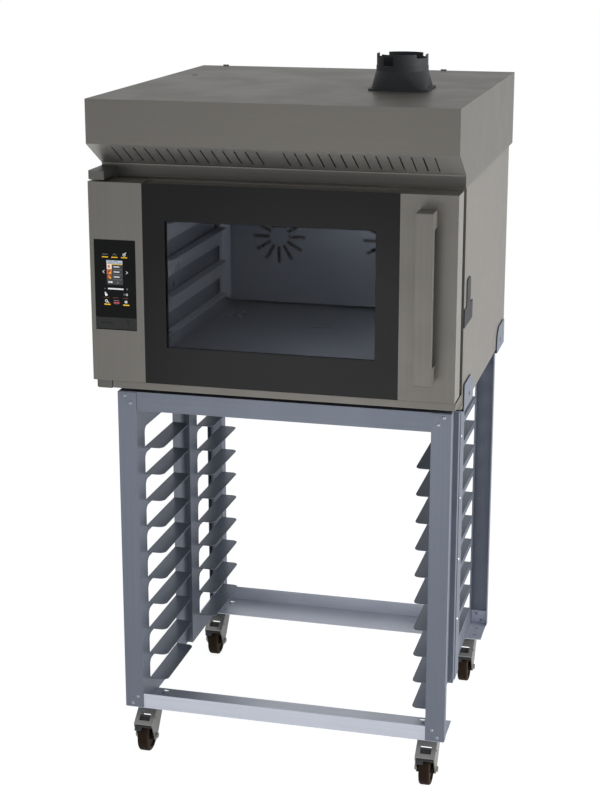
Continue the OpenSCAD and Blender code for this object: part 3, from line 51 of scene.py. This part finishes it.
camera_data = bpy.data.cameras.new("camera")
camera_data.sensor_fit = "VERTICAL"
camera_data.sensor_height = 24
camera_data.lens = 24 * FOCAL_LENGTH / PHOTO_HEIGHT
camera_data.shift_y = -FRAME_LOWERED / PHOTO_HEIGHT
camera_data.clip_end = 50
camera = bpy.data.objects.new("camera", camera_data)
bpy.context.scene.collection.objects.link(camera)
bpy.context.scene.camera = camera
camera.location = (0.9231, -3.3803 + DOOR_FACE_Y, 1.9333)
camera.rotation_euler = (math.radians(90 - DEGREES_DOWN), 0, math.radians(DEGREES_RIGHT))

# Floor, surroundings and lamps
# A pale studio floor that stays white to the eye but keeps the shadow under the casters.
# The light is soft: a wide lamp stands at the right and a small one low in front, and the
# oven's own lamp lights its cavity.


def srgb(code):
    """A hex colour as shown on a screen, turned into linear light."""
    channels = [int(code[i : i + 2], 16) / 255 for i in (1, 3, 5)]
    linear = [c / 12.92 if c <= 0.04045 else ((c + 0.055) / 1.055) ** 2.4 for c in channels]
    return (*linear, 1)


def add_node(tree, kind, inputs=None, **settings):
    """A shader node with its settings made and its inputs linked or filled in."""
    node = tree.nodes.new(kind)
    for name, value in settings.items():
        setattr(node, name, value)
    for name, value in (inputs or {}).items():
        if isinstance(value, bpy.types.NodeSocket):
            tree.links.new(value, node.inputs[name])
        else:
            node.inputs[name].default_value = value
    return node


def new_material(name):
    material = bpy.data.materials.new(name)
    material.use_nodes = True
    material.node_tree.nodes.clear()
    return material, material.node_tree


def rays_to_the_eye(tree):
    """One for the rays that are seen straight, through the panes or in polished steel."""
    rays = add_node(tree, "ShaderNodeLightPath")
    seen = add_node(tree, "ShaderNodeMath", {0: rays.outputs["Is Camera Ray"],
                    1: rays.outputs["Is Transmission Ray"]}, operation="MAXIMUM")
    seen = add_node(tree, "ShaderNodeMath", {0: seen.outputs[0],
                    1: rays.outputs["Is Glossy Ray"]}, operation="MAXIMUM")
    return seen.outputs[0]


scene = bpy.context.scene
scene.view_settings.view_transform = "Standard"

# The room is darker overhead, so that the level surfaces don't outshine the upright ones
ROOM_AT_HORIZON = 0.98
ROOM_OVERHEAD = 0.18
OVERHEAD_FROM = 0.8

world = bpy.data.worlds.new("studio")
scene.world = world
world.use_nodes = True
tree = world.node_tree
tree.nodes.clear()
heading = add_node(tree, "ShaderNodeTexCoord").outputs["Generated"]
heading = add_node(tree, "ShaderNodeSeparateXYZ", {0: heading})
strength = add_node(tree, "ShaderNodeMapRange", {"Value": heading.outputs["Z"],
                    "From Min": 0.0, "From Max": OVERHEAD_FROM, "To Min": ROOM_AT_HORIZON,
                    "To Max": ROOM_OVERHEAD})
dim = add_node(tree, "ShaderNodeBackground", {"Color": srgb("#e9edf2"),
               "Strength": strength.outputs[0]})
white = add_node(tree, "ShaderNodeBackground", {"Color": (1, 1, 1, 1), "Strength": 1.0})
mix = add_node(tree, "ShaderNodeMixShader", {0: rays_to_the_eye(tree), 1: dim.outputs[0],
               2: white.outputs[0]})
add_node(tree, "ShaderNodeOutputWorld", {"Surface": mix.outputs[0]})

# Paper that throws light up, and that is seen as a white glow with a faint shadow on it
FLOOR_GLOW = 0.94
FLOOR_REACH = 30
FLOOR_GAP = 0.0005

floor_material, tree = new_material("studio_floor")
paper = add_node(tree, "ShaderNodeBsdfDiffuse", {"Color": srgb("#e8e9ea")})
glow = add_node(tree, "ShaderNodeEmission", {"Color": (1, 1, 1, 1), "Strength": FLOOR_GLOW})
faint = add_node(tree, "ShaderNodeBsdfDiffuse", {"Color": srgb("#808080")})
shown = add_node(tree, "ShaderNodeAddShader", {0: glow.outputs[0], 1: faint.outputs[0]})
mix = add_node(tree, "ShaderNodeMixShader", {0: rays_to_the_eye(tree), 1: paper.outputs[0],
               2: shown.outputs[0]})
add_node(tree, "ShaderNodeOutputMaterial", {"Surface": mix.outputs[0]})


def bm_object(name, bm, *materials):
    """A piece from its finished shape, with its material slots in the given order."""
    mesh = bpy.data.meshes.new(name)
    bm.to_mesh(mesh)
    bm.free()
    for material in materials:
        mesh.materials.append(material)
    obj = bpy.data.objects.new(name, mesh)
    scene.collection.objects.link(obj)
    return obj


bm = bmesh.new()
bmesh.ops.create_grid(bm, x_segments=1, y_segments=1, size=FLOOR_REACH)
floor = bm_object("floor", bm, floor_material)
floor.location.z = -FLOOR_GAP


def add_lamp(name, kind, place, watts):
    lamp = bpy.data.lights.new(name, kind)
    lamp.energy = watts
    holder = bpy.data.objects.new(name, lamp)
    holder.location = place
    scene.collection.objects.link(holder)
    return lamp, holder


# Each soft lamp has its place, the place that it is turned to, its width and its power
for name, place, aim, width, watts in (
    ("lamp_right", (3.6, -0.2, 0.9), (0.2, 0.1, 0.7), 2.0, 160),
    ("lamp_low", (-0.4, -2.6, 0.35), (0, -0.3, 1.4), 1.2, 7),
):
    lamp, holder = add_lamp(name, "AREA", place, watts)
    lamp.shape = "DISK"
    lamp.size = width
    heading = Vector(aim) - Vector(place)
    holder.rotation_euler = heading.to_track_quat("-Z", "Y").to_euler()

# The oven's own light, from the strip beside the inner pane
lamp, holder = add_lamp("lamp_oven", "POINT", (0.1, -0.25, 1.26), 3.4)
lamp.shadow_soft_size = 0.05

# Stand
# The stand is folded from satin stainless sheet, pressed, punched and riveted, and it looks
# bluish beside the oven. Its lower rails get a much lighter colour as painted light, so they
# look brighter than the posts and the top rails.

GRAIN_ACROSS = 260.0  # noise cells in a metre, as are the next two
GRAIN_ALONG = 2.5
CLOUDS = 8.0
# Painted shade below a given height: how wide its fade is and how dark it gets
PAINTED_SHADE_FADE = 0.003
PAINTED_SHADE_LEVEL = 0.25
SMOOTHEST = 0.04
DULLEST = 0.05


def mix_colours(tree, factor, first, second, blend_type="MIX"):
    """The node's colour inputs are its sockets 6 and 7, and its colour output is socket 2."""
    return add_node(tree, "ShaderNodeMix", {0: factor, 6: first, 7: second},
                    data_type="RGBA", blend_type=blend_type).outputs[2]


def sheet_steel(name, colour, shade, rough, grain_axis, grain=0.4, metallic=0.55, bump=0.02,
                edge="#8c8c8c", painted_shade_z=None):
    """Rolled stainless: grain lines along one axis, from half a millimetre to four apart, and
    cloudy patches of roughness some 12 cm across that handling and polishing leave. Below the
    given height the colour is darkened as painted shade. The edge colour is what it mirrors at a
    low angle."""
    material, tree = new_material(name)
    place = add_node(tree, "ShaderNodeTexCoord").outputs["Object"]
    scale = [GRAIN_ACROSS] * 3
    scale[grain_axis] = GRAIN_ALONG
    lined = add_node(tree, "ShaderNodeMapping", {"Vector": place, "Scale": scale})
    fine = add_node(tree, "ShaderNodeTexNoise", {"Vector": lined.outputs[0], "Scale": 1.0,
                    "Detail": 3.0, "Roughness": 0.6})
    cloud = add_node(tree, "ShaderNodeTexNoise", {"Vector": place, "Scale": CLOUDS,
                     "Detail": 2.0})
    depth = add_node(tree, "ShaderNodeMix", {0: fine.outputs["Fac"], 2: 1 - grain * 0.5,
                     3: 1.0}, data_type="FLOAT")
    tint = mix_colours(tree, cloud.outputs["Fac"], srgb(shade), srgb(colour))
    tint = mix_colours(tree, 1.0, tint, depth.outputs[0], "MULTIPLY")
    # Painted shade: the colour darkens below the given height
    if painted_shade_z:
        height = add_node(tree, "ShaderNodeSeparateXYZ", {0: place}).outputs["Z"]
        painted_shade_factor = add_node(tree, "ShaderNodeMapRange", {"Value": height,
                         "From Min": painted_shade_z - PAINTED_SHADE_FADE, "From Max": painted_shade_z + PAINTED_SHADE_FADE,
                         "To Min": PAINTED_SHADE_LEVEL, "To Max": 1.0})
        tint = mix_colours(tree, 1.0, tint, painted_shade_factor.outputs[0], "MULTIPLY")
    polish = add_node(tree, "ShaderNodeMapRange", {"Value": cloud.outputs["Fac"],
                      "From Min": 0.2, "From Max": 0.8, "To Min": rough - SMOOTHEST,
                      "To Max": rough + DULLEST}, interpolation_type="SMOOTHSTEP")
    relief = add_node(tree, "ShaderNodeBump", {"Strength": bump, "Distance": 0.0004,
                      "Height": fine.outputs["Fac"]})
    shader = add_node(tree, "ShaderNodeBsdfPrincipled", {"Base Color": tint,
                      "Metallic": metallic, "Roughness": polish.outputs[0],
                      "Specular Tint": srgb(edge), "Normal": relief.outputs[0]})
    add_node(tree, "ShaderNodeOutputMaterial", {"Surface": shader.outputs[0]})
    return material


def dress(material, *names):
    """Give a material to all slots of the named pieces."""
    for name in names:
        for slot in nodes[name].material_slots:
            slot.material = material


stand_upright = sheet_steel("satin_stainless_upright", "#7b818d", "#757b87", 0.42, 2,
                            edge="#a4a4a4")
dress(stand_upright, "stand_side_left_front", "stand_side_left_rear",
      "stand_side_right_front", "stand_side_right_rear", "oven_retaining_tabs")
stand_level = sheet_steel("satin_stainless_rail", "#7b818d", "#757b87", 0.42, 0)
dress(stand_level, "stand_top_rails")
# Painted light: a lighter copy of the stand's steel for the lower rails
stand_rail_painted_light = sheet_steel("rail_painted_light", "#dadee9", "#cfd4e0", 0.36, 0)
dress(stand_rail_painted_light, "stand_lower_rails")

# Rivets and studs
# Plain steel blind rivets, set by pulling, whose light colour is partly bare steel and partly
# painted highlight, so that each shows as a small light dot on the stand. The studs and nuts of
# the casters are of the same steel.

# Partly painted highlight: the rivet heads are lighter than the sheet
rivet_steel_and_painted_highlight = sheet_steel("rivet_steel_and_painted_highlight", "#a6aab2", "#90949d", 0.4, 0, grain=0.2)
dress(rivet_steel_and_painted_highlight, "stand_fasteners")

# Casters
# The forks and plates are pressed and zinc plated, which leaves them pale and a little
# mottled. The tyres are cast and nearly black brown, and a moulded dark grey pedal lies
# over each of them.


def cast_polymer(name, colour, rough, grain_mm, bump, shine=0.3):
    """Moulded polymer or rubber: an even colour with the fine spark-eroded grain of its mould,
    a little paler and duller where hands have worn it."""
    material, tree = new_material(name)
    place = add_node(tree, "ShaderNodeTexCoord").outputs["Object"]
    grit = add_node(tree, "ShaderNodeTexNoise", {"Vector": place, "Scale": 1000 / grain_mm,
                    "Detail": 2.0})
    wear = add_node(tree, "ShaderNodeTexNoise", {"Vector": place, "Scale": 14.0, "Detail": 3.0})
    level = add_node(tree, "ShaderNodeMapRange", {"Value": wear.outputs["Fac"],
                     "To Min": rough - 0.06, "To Max": rough + 0.06})
    base = srgb(colour)
    pale = [min(1, c * 1.25 + 0.002) for c in base[:3]] + [1]
    tint = mix_colours(tree, wear.outputs["Fac"], base, pale)
    relief = add_node(tree, "ShaderNodeBump", {"Strength": bump, "Distance": 0.0003,
                      "Height": grit.outputs["Fac"]})
    shader = add_node(tree, "ShaderNodeBsdfPrincipled", {"Base Color": tint,
                      "Roughness": level.outputs[0], "Normal": relief.outputs[0],
                      "Specular IOR Level": shine})
    add_node(tree, "ShaderNodeOutputMaterial", {"Surface": shader.outputs[0]})
    return material


zinc = sheet_steel("zinc_plated_steel", "#9b9a98", "#84837f", 0.38, 2, grain=0.2)
dress(zinc, "caster_plates")
tyre = cast_polymer("polyurethane_tyre", "#261b12", 0.7, 1.6, 0.25, shine=0.1)
pedal_nylon = cast_polymer("pedal_nylon", "#3a3b3d", 0.5, 1.2, 0.2)
for corner in ("front_left", "front_right", "rear_left", "rear_right"):
    dress(zinc, "caster_fork_" + corner)
    dress(tyre, "caster_wheel_" + corner)
    dress(pedal_nylon, "caster_pedal_" + corner)

# Body
# The oven's covers are folded from brushed stainless sheet, which gives them a fine level
# grain and a warm grey tone. The casing gets a lighter copy of that steel, as painted light
# on its sides. The feet below are of moulded rubber.

cover_steel = sheet_steel("brushed_stainless_cover", "#75726d", "#716e69", 0.38, 0,
                          grain=0.26)
dress(cover_steel, "body_base", "body_rear_panel", "drip_gutter")
# Painted light: the casing's lighter copy of the cover steel
cover_side_painted_light = sheet_steel("brushed_stainless_side_painted_light", "#87847f", "#837f7a", 0.38, 1,
                         grain=0.26)
dress(cover_side_painted_light, "body_casing")
foot_rubber = cast_polymer("foot_rubber", "#1d1d1e", 0.7, 1.5, 0.3)
dress(foot_rubber, "oven_feet")

# Latch cover and hinge blocks
# The plate over the latch is a darker satin coated sheet, and the hinge blocks are milled
# from stainless bar. The bushes are sintered and the fittings cast, both of bronze, so they
# show a warm yellow.

dark_plate = sheet_steel("satin_coated_plate", "#313234", "#2c2d2f", 0.5, 2, grain=0.3,
                         metallic=0.4)
dress(dark_plate, "latch_cover")
hinge_steel = sheet_steel("machined_hinge_steel", "#6c6b68", "#5c5b58", 0.35, 0)
dress(hinge_steel, "hinge_brackets")
bronze = sheet_steel("sintered_bush_bronze", "#b08c4a", "#8f7038", 0.5, 2, grain=0.2)
dress(bronze, "hinge_bushes", "rear_fittings")

# Cavity
# A welded muffle of polished stainless, with the seal round its mouth, the bright racks on
# studs at both sides, and the baffle in front of the fans. The wool, the motors and the
# board behind it are out of sight.

cavity_steel = sheet_steel("polished_cavity_steel", "#8d9097", "#83868c", 0.3, 1, grain=0.12)
dress(cavity_steel, "cavity", "fan_baffle", "front_frame")
rack_steel = sheet_steel("electropolished_rack", "#c5c7cc", "#b8bac0", 0.3, 1, grain=0.15)
dress(rack_steel, "rack_left", "rack_right")
dress(hinge_steel, "fan_left", "fan_right", "heating_elements", "exhaust_pipe",
      "steam_condenser")
seal = cast_polymer("silicone_seal", "#1b1b1c", 0.55, 1.5, 0.2)
dress(seal, "door_gasket")
wool = cast_polymer("mineral_wool", "#b7a878", 0.95, 6.0, 0.9)
dress(wool, "insulation")
motor_paint = cast_polymer("motor_enamel", "#2c2c2e", 0.4, 2.0, 0.15)
dress(motor_paint, "fan_motors", "blower_housing", "blower_impeller")
board = cast_polymer("board_laminate", "#1f5436", 0.45, 2.0, 0.1)
dress(board, "power_board")

# Door
# Two housings of upright brushed stainless flank one outer pane. The pane is float glass
# with black enamel fired on round its window, so its border is dark and even. The clear
# inner pane sits in the back pan, beside the frosted light strip.

door_steel = sheet_steel("brushed_stainless_door", "#726f6a", "#6e6b66", 0.4, 2,
                         edge="#ffffff")
dress(door_steel, "door_left_housing", "door_right_housing", "door_back_frame")
handle_steel = sheet_steel("brushed_stainless_handle", "#74716c", "#6f6c67", 0.4, 2,
                           edge="#ffffff")
dress(handle_steel, "door_handle")

WINDOW_HALF = 0.229
WINDOW_Z = (1.025, 1.3008)
PRINT_FADE = 0.0006


def outside(tree, distance, half):
    """Nought within half of the middle and one beyond it, with the print's narrow edge."""
    distance = add_node(tree, "ShaderNodeMath", {0: distance}, operation="ABSOLUTE")
    return add_node(tree, "ShaderNodeMapRange", {"Value": distance.outputs[0],
                    "From Min": half - PRINT_FADE, "From Max": half + PRINT_FADE}).outputs[0]


pane, tree = new_material("printed_outer_pane")
place = add_node(tree, "ShaderNodeTexCoord").outputs["Object"]
axes = add_node(tree, "ShaderNodeSeparateXYZ", {0: place})
height = add_node(tree, "ShaderNodeMath", {0: axes.outputs["Z"],
                  1: (WINDOW_Z[0] + WINDOW_Z[1]) / 2}, operation="SUBTRACT")
printed = add_node(tree, "ShaderNodeMath", {
    0: outside(tree, axes.outputs["X"], WINDOW_HALF),
    1: outside(tree, height.outputs[0], (WINDOW_Z[1] - WINDOW_Z[0]) / 2),
}, operation="MAXIMUM")
smears = add_node(tree, "ShaderNodeTexNoise", {"Vector": place, "Scale": 5.0, "Detail": 3.0})
smears = add_node(tree, "ShaderNodeMapRange", {"Value": smears.outputs["Fac"],
                  "To Min": 0.16, "To Max": 0.3})
enamel = add_node(tree, "ShaderNodeBsdfPrincipled", {"Base Color": srgb("#1d1d1e"),
                  "Roughness": smears.outputs[0], "Specular IOR Level": 0.12})
clear = add_node(tree, "ShaderNodeBsdfTransparent", {"Color": srgb("#e7e8ea")})
shine = add_node(tree, "ShaderNodeBsdfGlossy", {"Color": srgb("#ffffff"), "Roughness": 0.06})
facing = add_node(tree, "ShaderNodeFresnel", {"IOR": 1.09})
glass = add_node(tree, "ShaderNodeMixShader", {0: facing.outputs[0], 1: clear.outputs[0],
                 2: shine.outputs[0]})
mix = add_node(tree, "ShaderNodeMixShader", {0: printed.outputs[0], 1: glass.outputs[0],
               2: enamel.outputs[0]})
add_node(tree, "ShaderNodeOutputMaterial", {"Surface": mix.outputs[0]})
dress(pane, "door_outer_glass")

inner_pane, tree = new_material("clear_inner_pane")
place = add_node(tree, "ShaderNodeTexCoord").outputs["Object"]
film = add_node(tree, "ShaderNodeTexNoise", {"Vector": place, "Scale": 3.0, "Detail": 2.0})
film = add_node(tree, "ShaderNodeMapRange", {"Value": film.outputs["Fac"], "To Min": 0.03,
                "To Max": 0.1})
clear = add_node(tree, "ShaderNodeBsdfTransparent", {"Color": srgb("#e8e9eb")})
shine = add_node(tree, "ShaderNodeBsdfGlossy", {"Roughness": film.outputs[0]})
facing = add_node(tree, "ShaderNodeFresnel", {"IOR": 1.05})
mix = add_node(tree, "ShaderNodeMixShader", {0: facing.outputs[0], 1: clear.outputs[0],
               2: shine.outputs[0]})
add_node(tree, "ShaderNodeOutputMaterial", {"Surface": mix.outputs[0]})
dress(inner_pane, "door_inner_glass")

strip_cover = cast_polymer("frosted_strip_cover", "#d9dbdc", 0.5, 2.0, 0.1)
dress(strip_cover, "door_light_strip")

# Control panel
# A box moulded in black behind the left housing carries the glossy touch display and the
# service flap. The flap is moulded in grey, so it stands off from the display above it.

box_plastic = cast_polymer("black_abs", "#141517", 0.45, 1.2, 0.2, shine=0.15)
dress(box_plastic, "control_box")
flap_plastic = cast_polymer("grey_abs_flap", "#323232", 0.4, 1.2, 0.2, shine=0.15)
dress(flap_plastic, "service_flap")
display_gloss = cast_polymer("display_gloss", "#0c0d0e", 0.14, 3.0, 0.02, shine=0.1)
dress(display_gloss, "control_display")

# Marks of the control panel
# The symbols are screen-printed on the display and lit from behind, so they stay bright
# whatever falls on the glass. The tiles on the screen hold plain discs for pictures, and
# plain bars stand where a screen has its lines of writing.

PANEL_Y = DOOR_FACE_Y - 0.001
MARK_THICKNESS = 0.0001
LAYER_STEP = 0.00012
ROUND_SIDES = 24
RING_WIDTH = 0.2


def put_into(bm, made):
    """Add a finished shape to the piece's own, and let go of it."""
    scratch = bpy.data.meshes.new("scratch")
    made.to_mesh(scratch)
    made.free()
    bm.from_mesh(scratch)
    bpy.data.meshes.remove(scratch)


def mark(bm, x, z, width, height, turn=0.0, colour=0, layer=0, shape="bar", face_y=PANEL_Y):
    """A flat printed mark on the panel. Places are in mm from the oven's middle and from the
    floor, turn is in degrees, and face_y is the face's own place in metres."""
    made = bmesh.new()
    if shape == "bar":
        bmesh.ops.create_grid(made, x_segments=1, y_segments=1, size=0.5)
    else:
        bmesh.ops.create_circle(made, cap_ends=True, segments=ROUND_SIDES, radius=0.5)
    if shape == "ring":
        bmesh.ops.inset_region(made, faces=made.faces[:], thickness=RING_WIDTH,
                               use_boundary=True)
        middle = min(made.faces, key=lambda face: face.calc_center_median().length)
        bmesh.ops.delete(made, geom=[middle], context="FACES")
    bmesh.ops.scale(made, vec=(width / 1000, height / 1000, 1), verts=made.verts)
    bmesh.ops.rotate(made, matrix=Matrix.Rotation(math.radians(turn), 3, "Z"),
                     verts=made.verts)
    bmesh.ops.rotate(made, matrix=Matrix.Rotation(math.radians(90), 3, "X"), verts=made.verts)
    out = bmesh.ops.extrude_face_region(made, geom=made.faces[:])
    lifted = [item for item in out["geom"] if isinstance(item, bmesh.types.BMVert)]
    bmesh.ops.translate(made, vec=(0, -MARK_THICKNESS, 0), verts=lifted)
    bmesh.ops.translate(made, vec=(x / 1000, face_y - LAYER_STEP * layer, z / 1000),
                        verts=made.verts)
    bmesh.ops.recalc_face_normals(made, faces=made.faces)
    for face in made.faces:
        face.material_index = colour
    put_into(bm, made)


def lit_ink(name, colour, strength):
    """Ink lit from behind: the grain of its screen print lets a little more light through in
    spots."""
    material, tree = new_material(name)
    place = add_node(tree, "ShaderNodeTexCoord").outputs["Object"]
    grain = add_node(tree, "ShaderNodeTexNoise", {"Vector": place, "Scale": 900.0})
    level = add_node(tree, "ShaderNodeMapRange", {"Value": grain.outputs["Fac"],
                     "To Min": strength * 0.85, "To Max": strength * 1.1})
    shader = add_node(tree, "ShaderNodeBsdfPrincipled", {"Base Color": srgb(colour),
                      "Roughness": 0.3, "Emission Color": srgb(colour),
                      "Emission Strength": level.outputs[0]})
    add_node(tree, "ShaderNodeOutputMaterial", {"Surface": shader.outputs[0]})
    return material


inks = [lit_ink("ink_white", "#d6d8da", 0.55), lit_ink("ink_yellow", "#e3b412", 0.5),
        lit_ink("ink_red", "#c02a35", 0.5), lit_ink("screen_dark", "#26282c", 0.2),
        lit_ink("screen_header", "#aeb8c4", 0.5), lit_ink("screen_orange", "#c8641e", 0.5),
        lit_ink("ink_grey", "#6f7275", 0.3), lit_ink("screen_brown", "#6b3418", 0.4)]
WHITE, YELLOW, RED, DARK, HEADER, ORANGE, GREY, BROWN = range(len(inks))

bm = bmesh.new()
# Top row: a wave for steam, a pitched roof for the hood and a thermometer bulb
for x in (-364.9, -343.4, -321.5):
    mark(bm, x, 1218, 14, 2, colour=YELLOW)
for x, turn in ((-369.1, 35), (-366.1, -35), (-363.1, 35), (-360.1, -35)):
    mark(bm, x, 1224, 3.8, 1, turn, GREY)
mark(bm, -345.2, 1224.3, 6.2, 1, 40, GREY)
mark(bm, -340.7, 1224.3, 6.2, 1, -40, GREY)
mark(bm, -321.3, 1224, 6.4, 6.5, colour=WHITE, shape="ring")
mark(bm, -318.3, 1228, 4.5, 1.4, 45, WHITE)
# Screen with its header and three rows, each with a picture
SCREEN_X = -343.8
SCREEN_WIDTH = 36.5
mark(bm, SCREEN_X, 1184.5, SCREEN_WIDTH, 53.5, colour=DARK)
mark(bm, SCREEN_X, 1207.4, SCREEN_WIDTH, 7.4, colour=HEADER, layer=1)
for x, z, length in ((-354, 1209.2, 9), (-341, 1209.2, 10), (-350, 1205.8, 14),
                     (-333, 1205.8, 11)):
    mark(bm, x, z, length, 0.9, colour=DARK, layer=2)
mark(bm, SCREEN_X, 1202.6, SCREEN_WIDTH, 1.4, colour=YELLOW, layer=1)
for row, tile, picture in ((1197.2, WHITE, ORANGE), (1186, ORANGE, BROWN),
                           (1175, BROWN, ORANGE)):
    mark(bm, -355.9, row, 11, 10.6, colour=tile, layer=1)
    mark(bm, -356.7, row + 0.5, 5.6, 6.6, colour=picture, layer=2, shape="disc")
    mark(bm, -354, row - 2.5, 3.2, 4, colour=YELLOW, layer=3, shape="disc")
    mark(bm, -339.3, row, 13, 2, colour=WHITE, layer=1)
    mark(bm, -337, row - 6, 21, 0.7, colour=GREY, layer=1)
mark(bm, -356.8, 1163.2, 3.6, 3.8, colour=WHITE, layer=1)
mark(bm, -351.7, 1163.2, 4.6, 3.8, colour=WHITE, layer=1)
mark(bm, -337.3, 1162.6, 3, 3.5, colour=GREY, layer=1)
# Arrows to page left and right, and the slider with its minus and plus
for x, turn in ((-369.1, 40), (-316.1, -40)):
    mark(bm, x, 1187, 5.2, 1, turn, WHITE)
    mark(bm, x, 1183.9, 5.2, 1, -turn, WHITE)
mark(bm, -342.3, 1148.6, 35.5, 3.2, colour=WHITE)
mark(bm, -367, 1148.6, 4, 1, colour=GREY)
for turn in (0, 90):
    mark(bm, -316.3, 1149, 4.6, 1.2, turn, GREY)
# Upper of the two lowest rows: a hand, and a needle probe beside its ring
mark(bm, -365.6, 1137, 3, 7.5, 12, WHITE)
mark(bm, -364.1, 1134.5, 5.4, 4, 12, WHITE)
mark(bm, -323.6, 1137.2, 1.8, 4.4, colour=GREY)
mark(bm, -317.2, 1137, 4.8, 5, colour=WHITE, shape="ring")
for x in (-364.1, -343.1, -320.3):
    mark(bm, x, 1129, 13.5, 0.9, colour=BROWN)
# Lowest row: a looking glass, the red start field and a fan
mark(bm, -364.4, 1121, 6.4, 6.6, colour=WHITE, shape="ring")
mark(bm, -360.1, 1118.4, 4.6, 1.4, -35, WHITE)
mark(bm, -341.6, 1122.8, 12, 1.7, colour=GREY)
mark(bm, -341, 1118.3, 14, 2.7, colour=RED)
mark(bm, -341.4, 1115.7, 11, 1.1, colour=GREY)
for turn in (20, 80, 140):
    mark(bm, -319.4, 1120.6, 7.6, 1.1, turn, WHITE)
mark(bm, -362.2, 1113.7, 14, 2.6, colour=YELLOW)
mark(bm, -319.2, 1113.7, 14, 2.6, colour=YELLOW)
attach(bm_object("control_marks", bm, *inks), "door")

# Relief of the service flap
# The mould leaves a plug with its lead and a key on the flap, a tenth of a millimetre
# proud and barely darker than the flap, so they show only from near by.

FLAP_Y = PANEL_Y + 0.0005
relief = cast_polymer("flap_relief", "#272728", 0.6, 1.2, 0.1, shine=0.1)
bm = bmesh.new()
for x, z, width, height, turn, shape in (
    (-363.5, 1072.5, 24, 1.2, 0, "bar"), (-374.5, 1072.5, 4.5, 4.5, 0, "disc"),
    (-365, 1075, 7, 1.2, 40, "bar"), (-359.5, 1070, 7, 1.2, -40, "bar"),
    (-353, 1072.5, 3.6, 3.6, 0, "bar"), (-314.8, 1076, 8, 8, 0, "ring"),
    (-314.8, 1069.5, 1.6, 6, 0, "bar"), (-312.9, 1067.4, 3, 1.6, 0, "bar"),
):
    mark(bm, x, z, width, height, turn, shape=shape, face_y=FLAP_Y)
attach(bm_object("flap_marks", bm, relief), "service_flap")

# Hood
# The hood is folded from the same sheet as the covers. Its slotted slope is a separate pair
# of panels, painted much lighter as painted light and with painted shade along their lower
# flange, and its flue collar is a black moulding with a dull skin.

# Height below which the slope's lower flange gets painted shade
PAINTED_SHADE_BELOW = 1.409

dress(cover_steel, "hood_casing", "hood_floor")
# Painted light: the slope panels get a much lighter copy of the cover steel
slope_steel_painted_light_and_shade = sheet_steel("brushed_stainless_slope_painted_light_and_shade", "#c6c3bd", "#bebbb5", 0.38, 0,
                          painted_shade_z=PAINTED_SHADE_BELOW)
dress(slope_steel_painted_light_and_shade, "hood_grilles")
flue_plastic = cast_polymer("black_nylon_flue", "#323335", 0.6, 1.4, 0.3, shine=0.15)
dress(flue_plastic, "flue_collar")

# Screws of the rear panel
# Pan heads hold the rear panel. They are headed from stainless wire, so they are brighter
# than the sheet, and their recess gets a near-black colour as painted shade.

SCREW_RADIUS = 0.0045
SCREW_HEIGHT = 0.003
SCREW_INSET = 0.012
ROUNDING = 0.7  # share of the height
RIM = 0.12  # share of the radius
RECESS = 0.5  # share of the height


def pan_head(bm, place, axis, radius, height):
    """A domed screw head on a surface. The axis points out of the surface."""
    made = bmesh.new()
    bmesh.ops.create_cone(made, cap_ends=True, segments=ROUND_SIDES, radius1=radius,
                          radius2=radius, depth=height)
    top = [edge for edge in made.edges if all(v.co.z > 0 for v in edge.verts)]
    bmesh.ops.bevel(made, geom=top, offset=height * ROUNDING, segments=4, profile=0.5,
                    affect="EDGES", material=-1)
    crown = max(made.faces, key=lambda face: face.calc_center_median().z)
    bmesh.ops.inset_region(made, faces=[crown], thickness=radius * RIM)
    bmesh.ops.translate(made, vec=(0, 0, -height * RECESS), verts=crown.verts)
    # The recess takes the second slot, a near-black painted shade
    crown.material_index = 1
    bmesh.ops.translate(made, vec=(0, 0, height / 2), verts=made.verts)
    turn = Vector(axis).to_track_quat("Z", "Y").to_matrix()
    bmesh.ops.rotate(made, matrix=turn, verts=made.verts)
    bmesh.ops.translate(made, vec=place, verts=made.verts)
    put_into(bm, made)


screw_steel = sheet_steel("screw_steel", "#9a9a9a", "#858585", 0.35, 0, grain=0.1)
# Painted shade for the screws' recesses
recess_painted_shade = cast_polymer("screw_recess_painted_shade", "#151515", 0.6, 1.0, 0.1)

panel_low, panel_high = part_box("body_rear_panel")
bm = bmesh.new()
for x in (panel_low.x + SCREW_INSET, (panel_low.x + panel_high.x) / 2,
          panel_high.x - SCREW_INSET):
    for z in (panel_low.z + SCREW_INSET, panel_high.z - SCREW_INSET):
        pan_head(bm, (x, panel_high.y, z), (0, 1, 0), SCREW_RADIUS, SCREW_HEIGHT)
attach(bm_object("rear_screws", bm, screw_steel, recess_painted_shade), "stand_and_oven")
